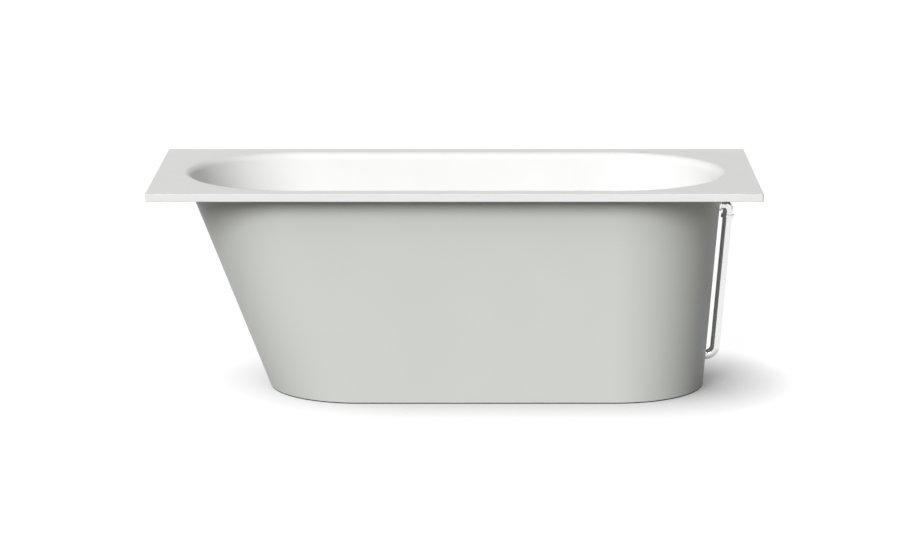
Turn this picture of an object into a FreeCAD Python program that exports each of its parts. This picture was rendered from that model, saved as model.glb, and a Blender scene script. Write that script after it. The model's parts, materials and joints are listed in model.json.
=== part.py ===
import FreeCAD, Part
import math
import os
from FreeCAD import Vector

# A bath with a flat rectangular rim, an oval basin and a separate skirt, one STEP file per piece.
# Millimetres, +Z up. The origin is on the floor under the middle of the rim. +X points to the
# foot end, where the waste and the overflow are, and -Y to the front.

# Overall
LENGTH = 1700.0
WIDTH = 750.0
HEIGHT = 620.0

# Rim: a flat slab with a turned-down lip
RIM_EDGE = 22.0         # height of the edge that shows
RIM_CORNER = 5.0        # radius of the four corners in plan
RIM_SOFTENING = 1.5     # radius along the lip's edges
SKIN = 5.0              # wall of the tub shell

# Basin. Its floor's height comes from the waste that stands under it, near the end of the sizes.
END_LEDGE = 78.0        # rim from the bath's ends to the opening
SIDE_LEDGE = 50.0       # rim from its sides to the opening
EDGE_RADIUS = 25.0      # round from the rim down into the basin
FLOOR_SKIN = 6.0
FLOOR_RADIUS = 70.0     # round from the floor up to the walls
HEAD_LEAN = 24.0        # degrees from upright: the backrest
FOOT_LEAN = 9.0         # degrees
SIDE_LEAN = 8.0         # degrees

# Skirt, measured inward from the opening at the lip's lower edge
SKIRT_HEAD_INSET = 7.0
SKIRT_FOOT_INSET = 11.0
SKIRT_SIDE_INSET = 13.0
SKIRT_HEAD_LEAN = 21.3  # degrees
SKIRT_FOOT_LEAN = 4.6   # degrees
SKIRT_SIDE_LEAN = 4.8   # degrees
SKIRT_WALL = 4.0
FLANGE_OVERHANG = 20.0  # the skirt's top flange reaches this far outside the opening
SEAL_HEIGHT = 3.0       # rubber strip between the skirt and the floor
SEAL_WIDTH = 7.0

# Rim frame: a board ring under the rim, which the skirt is screwed to
FRAME_THICKNESS = 10.0
FRAME_GAP = 2.0         # to the tub shell all round
SIDE_SCREWS = 6         # along each straight side
END_SCREWS = 3          # round each end
SCREW_SHANK = 2.0       # radius
SCREW_HEAD = 4.5        # radius
SCREW_HEAD_HEIGHT = 2.2
SCREW_GRIP = 8.0        # length in the wood

# Base board, cradle rails and feet
BOARD_THICKNESS = 15.0
BOARD_MARGIN = 10.0     # inside the flat of the basin's floor
BOARD_HOLE = 48.0       # radius round the waste
BOARD_SKIN = 3.0        # wood left above the middle stud's blind hole
BOARD_SCREW_INSET = 25.0
RAIL_HEIGHT = 25.0
RAIL_WIDTH = 40.0
RAIL_WALL = 2.0
HEAD_RAIL_INSET = 522.0  # from the opening's head end
FOOT_RAIL_INSET = 352.0  # from the opening's foot end
PACKER_LENGTH = 28.0    # from a rail's end to the skirt
FOOT_INSET = 120.0      # from the opening's sides to the outer feet
STUD_RADIUS = 6.0
STUD_DROP = 5.0         # from the underside of the basin's floor to the rails' studs
STUD_CLEARANCE = 9.0    # over the middle stud, in its blind hole
STUD_HOLE = 12.0        # radius of the blind hole
STUD_COLLAR = 9.6       # radius of the collar on the pad
STUD_COLLAR_HEIGHT = 3.0
NUT_FLATS = 19.0
NUT_HEIGHT = 10.0
PAD_RADIUS = 25.0
PAD_HEIGHT = 14.0
PAD_FLOOR = 6.0         # rubber under the stud's end
PAD_CHAMFER = 4.0
PLATE_SIDE = 80.0       # the middle foot's plate
PLATE_THICKNESS = 3.0
PLATE_CORNER = 8.0
PLATE_SCREW_INSET = 12.0

# Waste: what clamps to the floor of the basin, and the tee below it
WASTE_SETBACK = 66.0    # from the foot end of the floor's flat
DISH_RADIUS = 45.0
DISH_DEPTH = 2.5
WASTE_HOLE = 26.0       # radius in the tub shell
FLANGE_RADIUS = 35.0
FLANGE_THICKNESS = 2.5
FLANGE_RECESS = 1.0     # where the plug's seal sits
FLANGE_RECESS_RADIUS = 31.0
WASTE_TUBE = 23.0       # outer radius of the threaded tube
WASTE_BORE = 20.0
UPPER_SEAL = 1.0
LOWER_SEAL = 4.0
WASHER = 2.0
SEAL_RADIUS = 34.0
LOWER_SEAL_RADIUS = 38.0
BACK_NUT_FLATS = 66.0
BACK_NUT_HEIGHT = 12.0
BACK_NUT_ROOM = 3.5     # to the tee's slip nut below
SPIDER_DEPTH = 16.0     # from the flange's top to the cross that holds the plug's cartridge
SPIDER_HEIGHT = 4.0
SPIDER_BAR = 5.0
SPIDER_HUB = 11.0       # radius

# Plug: a push plug that clicks open and shut
PLUG_RADIUS = 30.0
PLUG_THICKNESS = 3.0
PLUG_SEAL_INNER = 22.0
PLUG_SEAL_OUTER = 28.0
PLUG_SEAL_HEIGHT = 1.5
STEM_RADIUS = 3.0
STEM_COLLAR = 6.0       # radius of the stem's foot, which the spring pushes
STEM_COLLAR_HEIGHT = 3.0
LATCH_ROOM = 1.0        # left over the stem's foot when the plug is up
CARTRIDGE_RADIUS = 9.0
CARTRIDGE_BORE = 6.6
CARTRIDGE_LENGTH = 34.0
CARTRIDGE_WALL = 2.5    # at its two ends
SPRING_WIRE = 1.0       # diameter
SPRING_RADIUS = 5.0
SPRING_TURNS = 5
PLUG_TRAVEL = 9.0

# Tee and tail
SOCKET_DEPTH = 24.0     # of the waste's tube in the tee
TEE_SOCKET = 29.0       # outer radius of the tee's upper socket
TEE_RADIUS = 26.0
TEE_BORE = 17.5
TEE_PORT = 18.0         # outer radius of the side port
TEE_PORT_BORE = 11.0
TEE_PORT_REACH = 60.0
PORT_SOCKET = 30.0      # depth of the overflow pipe in the port
PORT_RISE = 45.0        # from the tee's lower end to the port's middle
TEE_NECK = 59.5         # from the port's middle to the tee's top
TAIL_RADIUS = 20.0
TAIL_WALL = 2.0
TAIL_SOCKET = 22.0
TAIL_END_Z = 2.0
TAIL_COLLAR_RADIUS = 23.0
TAIL_COLLAR_HEIGHT = 4.0
TAIL_SPIGOT = 23.0      # free end below the collar
TAIL_NUT_ROOM = 1.0     # over the collar
RING_HEIGHT = 4.0       # sealing rings
NUT_GRIP = 8.0          # of a slip nut over its thread
NUT_LIP = 4.0
NUT_WALL = 5.0

# Overflow: through the foot end, down outside the skirt and back in near the floor
OVERFLOW_DROP = 97.0    # from the rim's top to the hole's middle
OVERFLOW_HOLE = 16.0    # radius in the tub shell and the skirt
ELBOW_RADIUS = 15.5
ELBOW_BORE = 12.5
ELBOW_BEND = 17.0
PIPE_RADIUS = 14.0
PIPE_WALL = 1.2
PIPE_GAP = 12.0         # from the skirt to the pipe
PIPE_BEND = 28.0
COLLAR_DROP = 28.0      # from the overflow's middle to the slip nut's top
COLLAR_HEIGHT = 11.0
COLLAR_RADIUS = 19.3
COLLAR_SOFTENING = 1.0
COLLAR_SOCKET = 14.0    # depth of the pipe in the elbow
THIN_RING = 2.5         # height of the sealing ring in the slip nut
ROSETTE_RADIUS = 20.5
ROSETTE_THICKNESS = 5.0
ROSETTE_SOFTENING = 1.5
SPACER_RADIUS = 24.0
GASKET_RADIUS = 29.0
GASKET_MIN = 7.0        # thinnest place of the bevelled gasket
GRID_THICKNESS = 3.0
GRID_SPIGOT = 22.0
GRID_WALL = 2.0
GRID_HUB = 6.0
GRID_BAR = 4.0
COVER_RADIUS = 34.0
COVER_WALL = 2.5
COVER_DEPTH = 11.0
COVER_SOFTENING = 2.0
COVER_SCREW = 2.5       # radius
COVER_SCREW_HEAD = 5.0
COVER_SCREW_HEAD_HEIGHT = 2.5
COVER_SCREW_SLOT = 1.2
COVER_SCREW_LENGTH = 24.0
GROMMET_WALL = 2.3
GROMMET_LENGTH = 9.0

# Clearances
SLIDE_FIT = 0.05        # radial, where a piece turns or slides in another
LOOSE_FIT = 0.4         # radial, where a tube only passes through
END_GAP = 0.3           # between a tube's end and its shoulder
CUT_REACH = 60.0        # how far a cutting or trimmed rod runs past the wall it meets
CUT_PAST = 1.0          # how far a cut runs past a flat face

UP = Vector(0, 0, 1)
ALONG = Vector(1, 0, 0)

# Opening and what keeps its place in it
OPENING_LENGTH = LENGTH - 2 * END_LEDGE
OPENING_WIDTH = WIDTH - 2 * SIDE_LEDGE
HEAD_RAIL_X = HEAD_RAIL_INSET - OPENING_LENGTH / 2
FOOT_RAIL_X = OPENING_LENGTH / 2 - FOOT_RAIL_INSET
FOOT_SPREAD = OPENING_WIDTH / 2 - FOOT_INSET

# The waste stands on the drain in the floor, and carries the height of the basin's floor
WASTE_TUBE_LENGTH = UPPER_SEAL + (FLOOR_SKIN - DISH_DEPTH) + LOWER_SEAL + WASHER + BACK_NUT_HEIGHT \
    + BACK_NUT_ROOM + NUT_LIP + RING_HEIGHT + SOCKET_DEPTH
TEE_END_Z = TAIL_END_Z + TAIL_SPIGOT + TAIL_COLLAR_HEIGHT + TAIL_NUT_ROOM + NUT_LIP + RING_HEIGHT
PIPE_ENTRY_Z = TEE_END_Z + PORT_RISE    # height of the pipe where it goes back through the skirt
TEE_TOP_Z = PIPE_ENTRY_Z + TEE_NECK
WASTE_END_Z = TEE_TOP_Z - SOCKET_DEPTH
WASTE_FLANGE_Z = WASTE_END_Z + WASTE_TUBE_LENGTH
SEAT_Z = WASTE_FLANGE_Z - UPPER_SEAL
FLOOR_Z = SEAT_Z + DISH_DEPTH

# Heights that several pieces share
SHELL_BOTTOM_Z = FLOOR_Z - FLOOR_SKIN
LIP_Z = HEIGHT - RIM_EDGE
RIM_UNDERSIDE_Z = HEIGHT - SKIN
FLANGE_TOP_Z = RIM_UNDERSIDE_Z - FRAME_THICKNESS
BOARD_Z = SHELL_BOTTOM_Z - BOARD_THICKNESS
RAIL_Z = BOARD_Z - RAIL_HEIGHT
PLUG_SEAL_Z = WASTE_FLANGE_Z + FLANGE_THICKNESS - FLANGE_RECESS
OVERFLOW_Z = HEIGHT - OVERFLOW_DROP


def slope(degrees):
    return math.tan(math.radians(degrees))


def tangent_length(radius, lean):
    """How far a round of this radius runs from the corner between a flat and a leaning wall."""
    return radius * slope((90.0 - lean) / 2)


def oval(head, foot, radius, z):
    """Wire with straight sides and round ends, from x = head to x = foot."""
    corners = [
        Vector(head + radius, -radius, z),
        Vector(foot - radius, -radius, z),
        Vector(foot - radius, radius, z),
        Vector(head + radius, radius, z),
    ]
    front = Part.LineSegment(corners[0], corners[1]).toShape()
    foot_end = Part.Arc(corners[1], Vector(foot, 0, z), corners[2]).toShape()
    back = Part.LineSegment(corners[2], corners[3]).toShape()
    head_end = Part.Arc(corners[3], Vector(head, 0, z), corners[0]).toShape()
    return Part.Wire([front, foot_end, back, head_end])


def oval_prism(head, foot, radius, z, height):
    return Part.Face(oval(head, foot, radius, z)).extrude(Vector(0, 0, height))


class LeaningOval:
    """An oval wall that leans evenly on each side, given by its oval at one height."""

    def __init__(self, head, foot, radius, z, head_lean, foot_lean, side_lean):
        self.head, self.foot, self.radius, self.z = head, foot, radius, z
        self.head_lean, self.foot_lean, self.side_lean = head_lean, foot_lean, side_lean

    def at(self, z, grow=0.0):
        """Head, foot and radius of the oval at a height, grown outward by a distance."""
        rise = z - self.z
        head = self.head - rise * slope(self.head_lean) - grow
        foot = self.foot + rise * slope(self.foot_lean) + grow
        radius = self.radius + rise * slope(self.side_lean) + grow
        return head, foot, radius

    def solid(self, low, high, grow=0.0):
        ends = [oval(*self.at(z, grow), z) for z in (low, high)]
        return Part.makeLoft(ends, True, True)


BASIN = LeaningOval(
    -OPENING_LENGTH / 2 + tangent_length(EDGE_RADIUS, HEAD_LEAN),
    OPENING_LENGTH / 2 - tangent_length(EDGE_RADIUS, FOOT_LEAN),
    OPENING_WIDTH / 2 - tangent_length(EDGE_RADIUS, SIDE_LEAN),
    HEIGHT, HEAD_LEAN, FOOT_LEAN, SIDE_LEAN)
SKIRT = LeaningOval(
    -OPENING_LENGTH / 2 + SKIRT_HEAD_INSET,
    OPENING_LENGTH / 2 - SKIRT_FOOT_INSET,
    OPENING_WIDTH / 2 - SKIRT_SIDE_INSET,
    LIP_Z, SKIRT_HEAD_LEAN, SKIRT_FOOT_LEAN, SKIRT_SIDE_LEAN)


# The flat of the basin's floor, inside its round
FLAT_HEAD = BASIN.at(FLOOR_Z)[0] + tangent_length(FLOOR_RADIUS, HEAD_LEAN)
FLAT_FOOT = BASIN.at(FLOOR_Z)[1] - tangent_length(FLOOR_RADIUS, FOOT_LEAN)
FLAT_RADIUS = BASIN.at(FLOOR_Z)[2] - tangent_length(FLOOR_RADIUS, SIDE_LEAN)
WASTE_X = FLAT_FOOT - WASTE_SETBACK


def put(shape, point, axis=UP):
    """Stand a piece drawn upward from the origin at a point, along an axis."""
    placement = FreeCAD.Placement(point, FreeCAD.Rotation(UP, axis))
    return shape.transformed(placement.toMatrix())


def ring(outer, inner, height, point=Vector(), axis=UP):
    solid = Part.makeCylinder(outer, height).cut(Part.makeCylinder(inner, height))
    return put(solid, point, axis)


def block(x0, x1, y0, y1, z0, z1):
    return Part.makeBox(x1 - x0, y1 - y0, z1 - z0, Vector(x0, y0, z0))


def hex_nut(flats, bore, height):
    radius = flats / 2 / math.cos(math.radians(30))
    corners = [Vector(radius * math.cos(a), radius * math.sin(a), 0)
               for a in [math.radians(60 * i) for i in range(7)]]
    prism = Part.Face(Part.makePolygon(corners)).extrude(Vector(0, 0, height))
    return prism.cut(Part.makeCylinder(bore, height))


def slip_nut(outer, thread, passing, grip, lip, seal_height):
    """Nut drawn with its lip up: it grips a thread and presses a ring onto the tube inside."""
    height = grip + seal_height + lip
    nut = ring(outer, passing, height)
    return nut.cut(Part.makeCylinder(thread, grip + seal_height))


def fillet(shape, radius, wanted):
    return shape.makeFillet(radius, [edge for edge in shape.Edges if wanted(edge)])


def flat_at(z):
    """Test for an edge that lies all in the plane at this height."""
    def test(edge):
        box = edge.BoundBox
        return abs(box.ZMin - z) < 1e-3 and abs(box.ZMax - z) < 1e-3
    return test


def group(shapes):
    return Part.makeCompound(shapes)


def largest_solid(shape):
    return max(shape.Solids, key=lambda solid: solid.Volume)


# Tub shell and what stiffens its rim

def basin_form(grow, bottom):
    """The basin as a filled form, grown by the wall, with its round at the bottom."""
    form = BASIN.solid(bottom, HEIGHT + EDGE_RADIUS, grow)
    return fillet(form, FLOOR_RADIUS + grow, flat_at(bottom))


def rim_slab():
    slab = block(-LENGTH / 2, LENGTH / 2, -WIDTH / 2, WIDTH / 2, LIP_Z, HEIGHT)
    slab = fillet(slab, RIM_CORNER, lambda edge: edge.BoundBox.ZLength > RIM_EDGE / 2)
    slab = fillet(slab, RIM_SOFTENING, lambda edge: edge.BoundBox.ZLength < RIM_EDGE / 2)
    half_length = LENGTH / 2 - SKIN
    half_width = WIDTH / 2 - SKIN
    return slab.cut(block(-half_length, half_length, -half_width, half_width, LIP_Z, RIM_UNDERSIDE_Z))


def inside_rim(edge):
    """Test for an edge of the oval, not of the slab's own outline."""
    box = edge.BoundBox
    return box.XMax < LENGTH / 2 - 2 * SKIN and box.XMin > 2 * SKIN - LENGTH / 2 \
        and box.YMax < WIDTH / 2 - 2 * SKIN and box.YMin > 2 * SKIN - WIDTH / 2


def tub_shell():
    above = block(-LENGTH, LENGTH, -WIDTH, WIDTH, HEIGHT - SKIN / 2, HEIGHT + 2 * EDGE_RADIUS)
    body = rim_slab().fuse(basin_form(SKIN, SHELL_BOTTOM_Z).cut(above))
    body = fillet(body, EDGE_RADIUS - SKIN,
                  lambda edge: flat_at(RIM_UNDERSIDE_Z)(edge) and inside_rim(edge))
    body = body.cut(basin_form(0.0, FLOOR_Z))
    body = fillet(body, EDGE_RADIUS, lambda edge: flat_at(HEIGHT)(edge) and inside_rim(edge))
    dish = Part.makeCylinder(DISH_RADIUS, 2 * DISH_DEPTH, Vector(WASTE_X, 0, SEAT_Z))
    hole = Part.makeCylinder(WASTE_HOLE, 2 * FLOOR_SKIN, Vector(WASTE_X, 0, SEAT_Z - 1.5 * FLOOR_SKIN))
    return largest_solid(body.cut(dish).cut(hole).cut(overflow_drill()))


def overflow_drill():
    start = Vector(BASIN.at(OVERFLOW_Z)[1] - CUT_REACH, 0, OVERFLOW_Z)
    return Part.makeCylinder(OVERFLOW_HOLE, 2 * CUT_REACH, start, ALONG)


def opening_oval(grow):
    return (-OPENING_LENGTH / 2 - grow, OPENING_LENGTH / 2 + grow, OPENING_WIDTH / 2 + grow)


def rim_frame():
    inset = SKIN + FRAME_GAP
    board = block(-LENGTH / 2 + inset, LENGTH / 2 - inset, -WIDTH / 2 + inset, WIDTH / 2 - inset,
                  FLANGE_TOP_Z, RIM_UNDERSIDE_Z)
    board = board.cut(oval_prism(*opening_oval(FRAME_GAP), FLANGE_TOP_Z, FRAME_THICKNESS))
    for x, y in skirt_screw_places():
        board = board.cut(Part.makeCylinder(SCREW_SHANK, SCREW_GRIP, Vector(x, y, FLANGE_TOP_Z)))
    return board


def skirt_screw_places():
    """Along the middle of the band where the skirt's flange lies under the rim frame."""
    head, foot, radius = opening_oval((FRAME_GAP + FLANGE_OVERHANG) / 2)
    places = []
    span = (foot - radius) - (head + radius)
    for i in range(SIDE_SCREWS):
        x = head + radius + span * i / (SIDE_SCREWS - 1)
        places += [(x, -radius), (x, radius)]
    for i in range(1, END_SCREWS + 1):
        turn = math.pi * i / (END_SCREWS + 1) - math.pi / 2
        across = radius * math.cos(turn)
        y = radius * math.sin(turn)
        places += [(foot - radius + across, y), (head + radius - across, y)]
    return places


def skirt_screws():
    head = Part.makeCylinder(SCREW_HEAD, SCREW_HEAD_HEIGHT)
    head = fillet(head, SCREW_HEAD_HEIGHT / 2, flat_at(0))
    shank = Part.makeCylinder(SCREW_SHANK, SKIRT_WALL + SCREW_GRIP, Vector(0, 0, SCREW_HEAD_HEIGHT))
    screw = head.fuse(shank)
    z = FLANGE_TOP_Z - SKIRT_WALL - SCREW_HEAD_HEIGHT
    return group([put(screw, Vector(x, y, z)) for x, y in skirt_screw_places()])


# Skirt

def skirt_panel():
    top = FLANGE_TOP_Z
    wall = SKIRT.solid(SEAL_HEIGHT, top)
    flange = oval_prism(*opening_oval(FLANGE_OVERHANG), top - SKIRT_WALL, SKIRT_WALL)
    panel = wall.fuse(flange).cut(SKIRT.solid(SEAL_HEIGHT - CUT_PAST, top + CUT_PAST, -SKIRT_WALL))
    panel = panel.cut(overflow_drill())
    entry = Vector(SKIRT.at(PIPE_ENTRY_Z)[1] - CUT_REACH, 0, PIPE_ENTRY_Z)
    panel = panel.cut(Part.makeCylinder(PIPE_RADIUS + GROMMET_WALL, 2 * CUT_REACH, entry, ALONG))
    for x, y in skirt_screw_places():
        panel = panel.cut(Part.makeCylinder(SCREW_SHANK, SKIRT_WALL, Vector(x, y, top - SKIRT_WALL)))
    return largest_solid(panel)


def skirt_seal():
    inset = (SEAL_WIDTH - SKIRT_WALL) / 2
    outer = oval_prism(*SKIRT.at(SEAL_HEIGHT, -inset), 0, SEAL_HEIGHT)
    return outer.cut(oval_prism(*SKIRT.at(SEAL_HEIGHT, -inset - SEAL_WIDTH), 0, SEAL_HEIGHT))


# Base board, rails and feet

def rails():
    return [("head", HEAD_RAIL_X), ("foot", FOOT_RAIL_X)]


def rail_reach():
    """Half the length of a rail: to the skirt, less the packer."""
    return SKIRT.at(RAIL_Z)[2] - SKIRT_WALL - PACKER_LENGTH


def rail_screw_places():
    reach = FLAT_RADIUS - BOARD_MARGIN - BOARD_SCREW_INSET
    return [(x, y) for _, x in rails() for y in (-reach, -reach / 3, reach / 3, reach)]


def plate_screw_places():
    step = PLATE_SIDE / 2 - PLATE_SCREW_INSET
    return [(MIDDLE_FOOT_X + dx, dy) for dx in (-step, step) for dy in (-step, step)]


MIDDLE_FOOT_X = (HEAD_RAIL_X + FOOT_RAIL_X) / 2
PLATE_Z = BOARD_Z - PLATE_THICKNESS
WEB_Z = BOARD_Z - RAIL_WALL


def base_board():
    board = oval_prism(FLAT_HEAD + BOARD_MARGIN, FLAT_FOOT - BOARD_MARGIN, FLAT_RADIUS - BOARD_MARGIN,
                       BOARD_Z, BOARD_THICKNESS)
    cuts = [Part.makeCylinder(BOARD_HOLE, BOARD_THICKNESS, Vector(WASTE_X, 0, BOARD_Z))]
    depth = BOARD_THICKNESS - BOARD_SKIN
    cuts.append(Part.makeCylinder(STUD_HOLE, depth, Vector(MIDDLE_FOOT_X, 0, BOARD_Z)))
    for x, y in rail_screw_places() + plate_screw_places():
        cuts.append(Part.makeCylinder(SCREW_SHANK, SCREW_GRIP, Vector(x, y, BOARD_Z)))
    return board.cut(group(cuts))


def cradle_rail(x):
    """Channel across the tub, open downward."""
    reach = rail_reach()
    half = RAIL_WIDTH / 2
    rail = block(x - half, x + half, -reach, reach, RAIL_Z, BOARD_Z)
    inner = half - RAIL_WALL
    rail = rail.cut(block(x - inner, x + inner, -reach, reach, RAIL_Z, WEB_Z))
    for y in (-FOOT_SPREAD, FOOT_SPREAD):
        hole = Part.makeCylinder(STUD_RADIUS + LOOSE_FIT, RAIL_WALL, Vector(x, y, WEB_Z))
        rail = rail.cut(hole)
    for sx, sy in rail_screw_places():
        rail = rail.cut(Part.makeCylinder(SCREW_SHANK, RAIL_WALL, Vector(sx, sy, WEB_Z)))
    return rail


def board_screws(places, under):
    """Pan head screws up through a plate of steel into the base board."""
    head = Part.makeCylinder(SCREW_HEAD, SCREW_HEAD_HEIGHT)
    shank = Part.makeCylinder(SCREW_SHANK, BOARD_Z - under + SCREW_GRIP, Vector(0, 0, SCREW_HEAD_HEIGHT))
    screw = head.fuse(shank)
    return group([put(screw, Vector(x, y, under - SCREW_HEAD_HEIGHT)) for x, y in places])


def skirt_packers():
    """Blocks between the ends of the rails and the skirt, cut to the skirt's lean."""
    inside = SKIRT.solid(0, HEIGHT, -SKIRT_WALL)
    reach = rail_reach()
    half = RAIL_WIDTH / 2
    far = reach + 2 * PACKER_LENGTH
    packers = []
    for _, x in rails():
        for y0, y1 in ((reach, far), (-far, -reach)):
            packers.append(block(x - half, x + half, y0, y1, RAIL_Z, BOARD_Z).common(inside))
    return group(packers)


def foot_stud(x, y, top):
    """Threaded stud with a collar that rests on the pad."""
    stud = Part.makeCylinder(STUD_RADIUS, top - PAD_FLOOR, Vector(x, y, PAD_FLOOR))
    collar = Part.makeCylinder(STUD_COLLAR, STUD_COLLAR_HEIGHT, Vector(x, y, PAD_HEIGHT))
    return stud.fuse(collar)


def foot_pad(x, y):
    pad = Part.makeCylinder(PAD_RADIUS, PAD_HEIGHT)
    pad = pad.makeChamfer(PAD_CHAMFER, [edge for edge in pad.Edges if flat_at(PAD_HEIGHT)(edge)])
    socket = Part.makeCylinder(STUD_RADIUS, PAD_HEIGHT - PAD_FLOOR, Vector(0, 0, PAD_FLOOR))
    return put(pad.cut(socket), Vector(x, y, 0))


def feet():
    """Name, place and stud top of each foot."""
    places = []
    for end, x in rails():
        places.append((end + "_front", x, -FOOT_SPREAD, SHELL_BOTTOM_Z - STUD_DROP))
        places.append((end + "_back", x, FOOT_SPREAD, SHELL_BOTTOM_Z - STUD_DROP))
    places.append(("middle", MIDDLE_FOOT_X, 0.0, SHELL_BOTTOM_Z - BOARD_SKIN - STUD_CLEARANCE))
    return places


def foot_nuts():
    """Two nuts clamp each stud to its rail, and one hangs under the middle foot's plate."""
    nut = hex_nut(NUT_FLATS, STUD_RADIUS + SLIDE_FIT, NUT_HEIGHT)
    nuts = []
    for _, x in rails():
        for y in (-FOOT_SPREAD, FOOT_SPREAD):
            nuts.append(put(nut, Vector(x, y, BOARD_Z)))
            nuts.append(put(nut, Vector(x, y, WEB_Z - NUT_HEIGHT)))
    nuts.append(put(nut, Vector(MIDDLE_FOOT_X, 0, PLATE_Z - NUT_HEIGHT)))
    return group(nuts)


def middle_foot_plate():
    half = PLATE_SIDE / 2
    x = MIDDLE_FOOT_X
    plate = block(x - half, x + half, -half, half, PLATE_Z, BOARD_Z)
    plate = fillet(plate, PLATE_CORNER, lambda edge: edge.BoundBox.ZLength > PLATE_THICKNESS / 2)
    cuts = [Part.makeCylinder(STUD_RADIUS + LOOSE_FIT, PLATE_THICKNESS, Vector(x, 0, PLATE_Z))]
    for sx, sy in plate_screw_places():
        cuts.append(Part.makeCylinder(SCREW_SHANK, PLATE_THICKNESS, Vector(sx, sy, PLATE_Z)))
    return plate.cut(group(cuts))


# Waste

def waste_axis(z):
    return Vector(WASTE_X, 0, z)


def waste_flange():
    """Flange and threaded tube in one, with a cross inside that carries the plug's cartridge."""
    top = WASTE_FLANGE_Z + FLANGE_THICKNESS
    disc = Part.makeCylinder(FLANGE_RADIUS, FLANGE_THICKNESS, Vector(0, 0, WASTE_FLANGE_Z))
    disc = fillet(disc, FLANGE_THICKNESS / 3, flat_at(top))
    tube = Part.makeCylinder(WASTE_TUBE, WASTE_TUBE_LENGTH, Vector(0, 0, WASTE_END_Z))
    body = disc.fuse(tube)
    body = body.cut(Part.makeCylinder(WASTE_BORE, HEIGHT))
    body = body.cut(Part.makeCylinder(FLANGE_RECESS_RADIUS, HEIGHT, Vector(0, 0, PLUG_SEAL_Z)))
    low = top - SPIDER_DEPTH
    half = SPIDER_BAR / 2
    reach = (WASTE_BORE + WASTE_TUBE) / 2
    bars = block(-reach, reach, -half, half, low, low + SPIDER_HEIGHT)
    bars = bars.fuse(block(-half, half, -reach, reach, low, low + SPIDER_HEIGHT))
    hub = Part.makeCylinder(SPIDER_HUB, SPIDER_HEIGHT, Vector(0, 0, low))
    bore = Part.makeCylinder(CARTRIDGE_RADIUS, SPIDER_HEIGHT, Vector(0, 0, low))
    body = body.fuse(bars.fuse(hub)).cut(bore)
    return put(body, waste_axis(0))


def plug_cartridge():
    """Closed tube that the stem slides in, held by the cross at its upper end."""
    top = WASTE_FLANGE_Z + FLANGE_THICKNESS - SPIDER_DEPTH + SPIDER_HEIGHT
    low = top - CARTRIDGE_LENGTH
    body = Part.makeCylinder(CARTRIDGE_RADIUS, CARTRIDGE_LENGTH, Vector(0, 0, low))
    chamber_length = CARTRIDGE_LENGTH - 2 * CARTRIDGE_WALL
    chamber = Part.makeCylinder(CARTRIDGE_BORE, chamber_length, Vector(0, 0, low + CARTRIDGE_WALL))
    body = body.cut(chamber)
    guide_z = top - CARTRIDGE_WALL
    guide = Part.makeCylinder(STEM_RADIUS + SLIDE_FIT, CARTRIDGE_WALL, Vector(0, 0, guide_z))
    return put(body.cut(guide), waste_axis(0))


CARTRIDGE_TOP_Z = WASTE_FLANGE_Z + FLANGE_THICKNESS - SPIDER_DEPTH + SPIDER_HEIGHT
STEM_END_Z = CARTRIDGE_TOP_Z - CARTRIDGE_WALL - PLUG_TRAVEL - LATCH_ROOM - STEM_COLLAR_HEIGHT
PLUG_Z = PLUG_SEAL_Z + PLUG_SEAL_HEIGHT


def plug_stem():
    stem = Part.makeCylinder(STEM_RADIUS, PLUG_Z - STEM_END_Z, Vector(0, 0, STEM_END_Z))
    collar = Part.makeCylinder(STEM_COLLAR, STEM_COLLAR_HEIGHT, Vector(0, 0, STEM_END_Z))
    return put(stem.fuse(collar), waste_axis(0))


def plug_spring():
    low = CARTRIDGE_TOP_Z - CARTRIDGE_LENGTH + CARTRIDGE_WALL + SPRING_WIRE / 2
    height = STEM_END_Z - END_GAP - SPRING_WIRE / 2 - low
    path = Part.Wire(Part.makeHelix(height / SPRING_TURNS, height, SPRING_RADIUS))
    start = Part.makeCircle(SPRING_WIRE / 2, Vector(SPRING_RADIUS, 0, 0), Vector(0, 1, 0))
    spring = path.makePipeShell([Part.Wire(start)], True, True)
    return put(spring, waste_axis(low))


def plug_seal():
    return ring(PLUG_SEAL_OUTER, PLUG_SEAL_INNER, PLUG_SEAL_HEIGHT, waste_axis(PLUG_SEAL_Z))


def plug_cap():
    """Flat disc with a boss below that the seal is stretched over."""
    disc = Part.makeCylinder(PLUG_RADIUS, PLUG_THICKNESS, Vector(0, 0, PLUG_Z))
    disc = fillet(disc, PLUG_THICKNESS / 2, flat_at(PLUG_Z + PLUG_THICKNESS))
    return put(disc, waste_axis(0))


def back_nut():
    top = SHELL_BOTTOM_Z - LOWER_SEAL - WASHER
    nut = hex_nut(BACK_NUT_FLATS, WASTE_TUBE + SLIDE_FIT, BACK_NUT_HEIGHT)
    return put(nut, waste_axis(top - BACK_NUT_HEIGHT))


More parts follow.
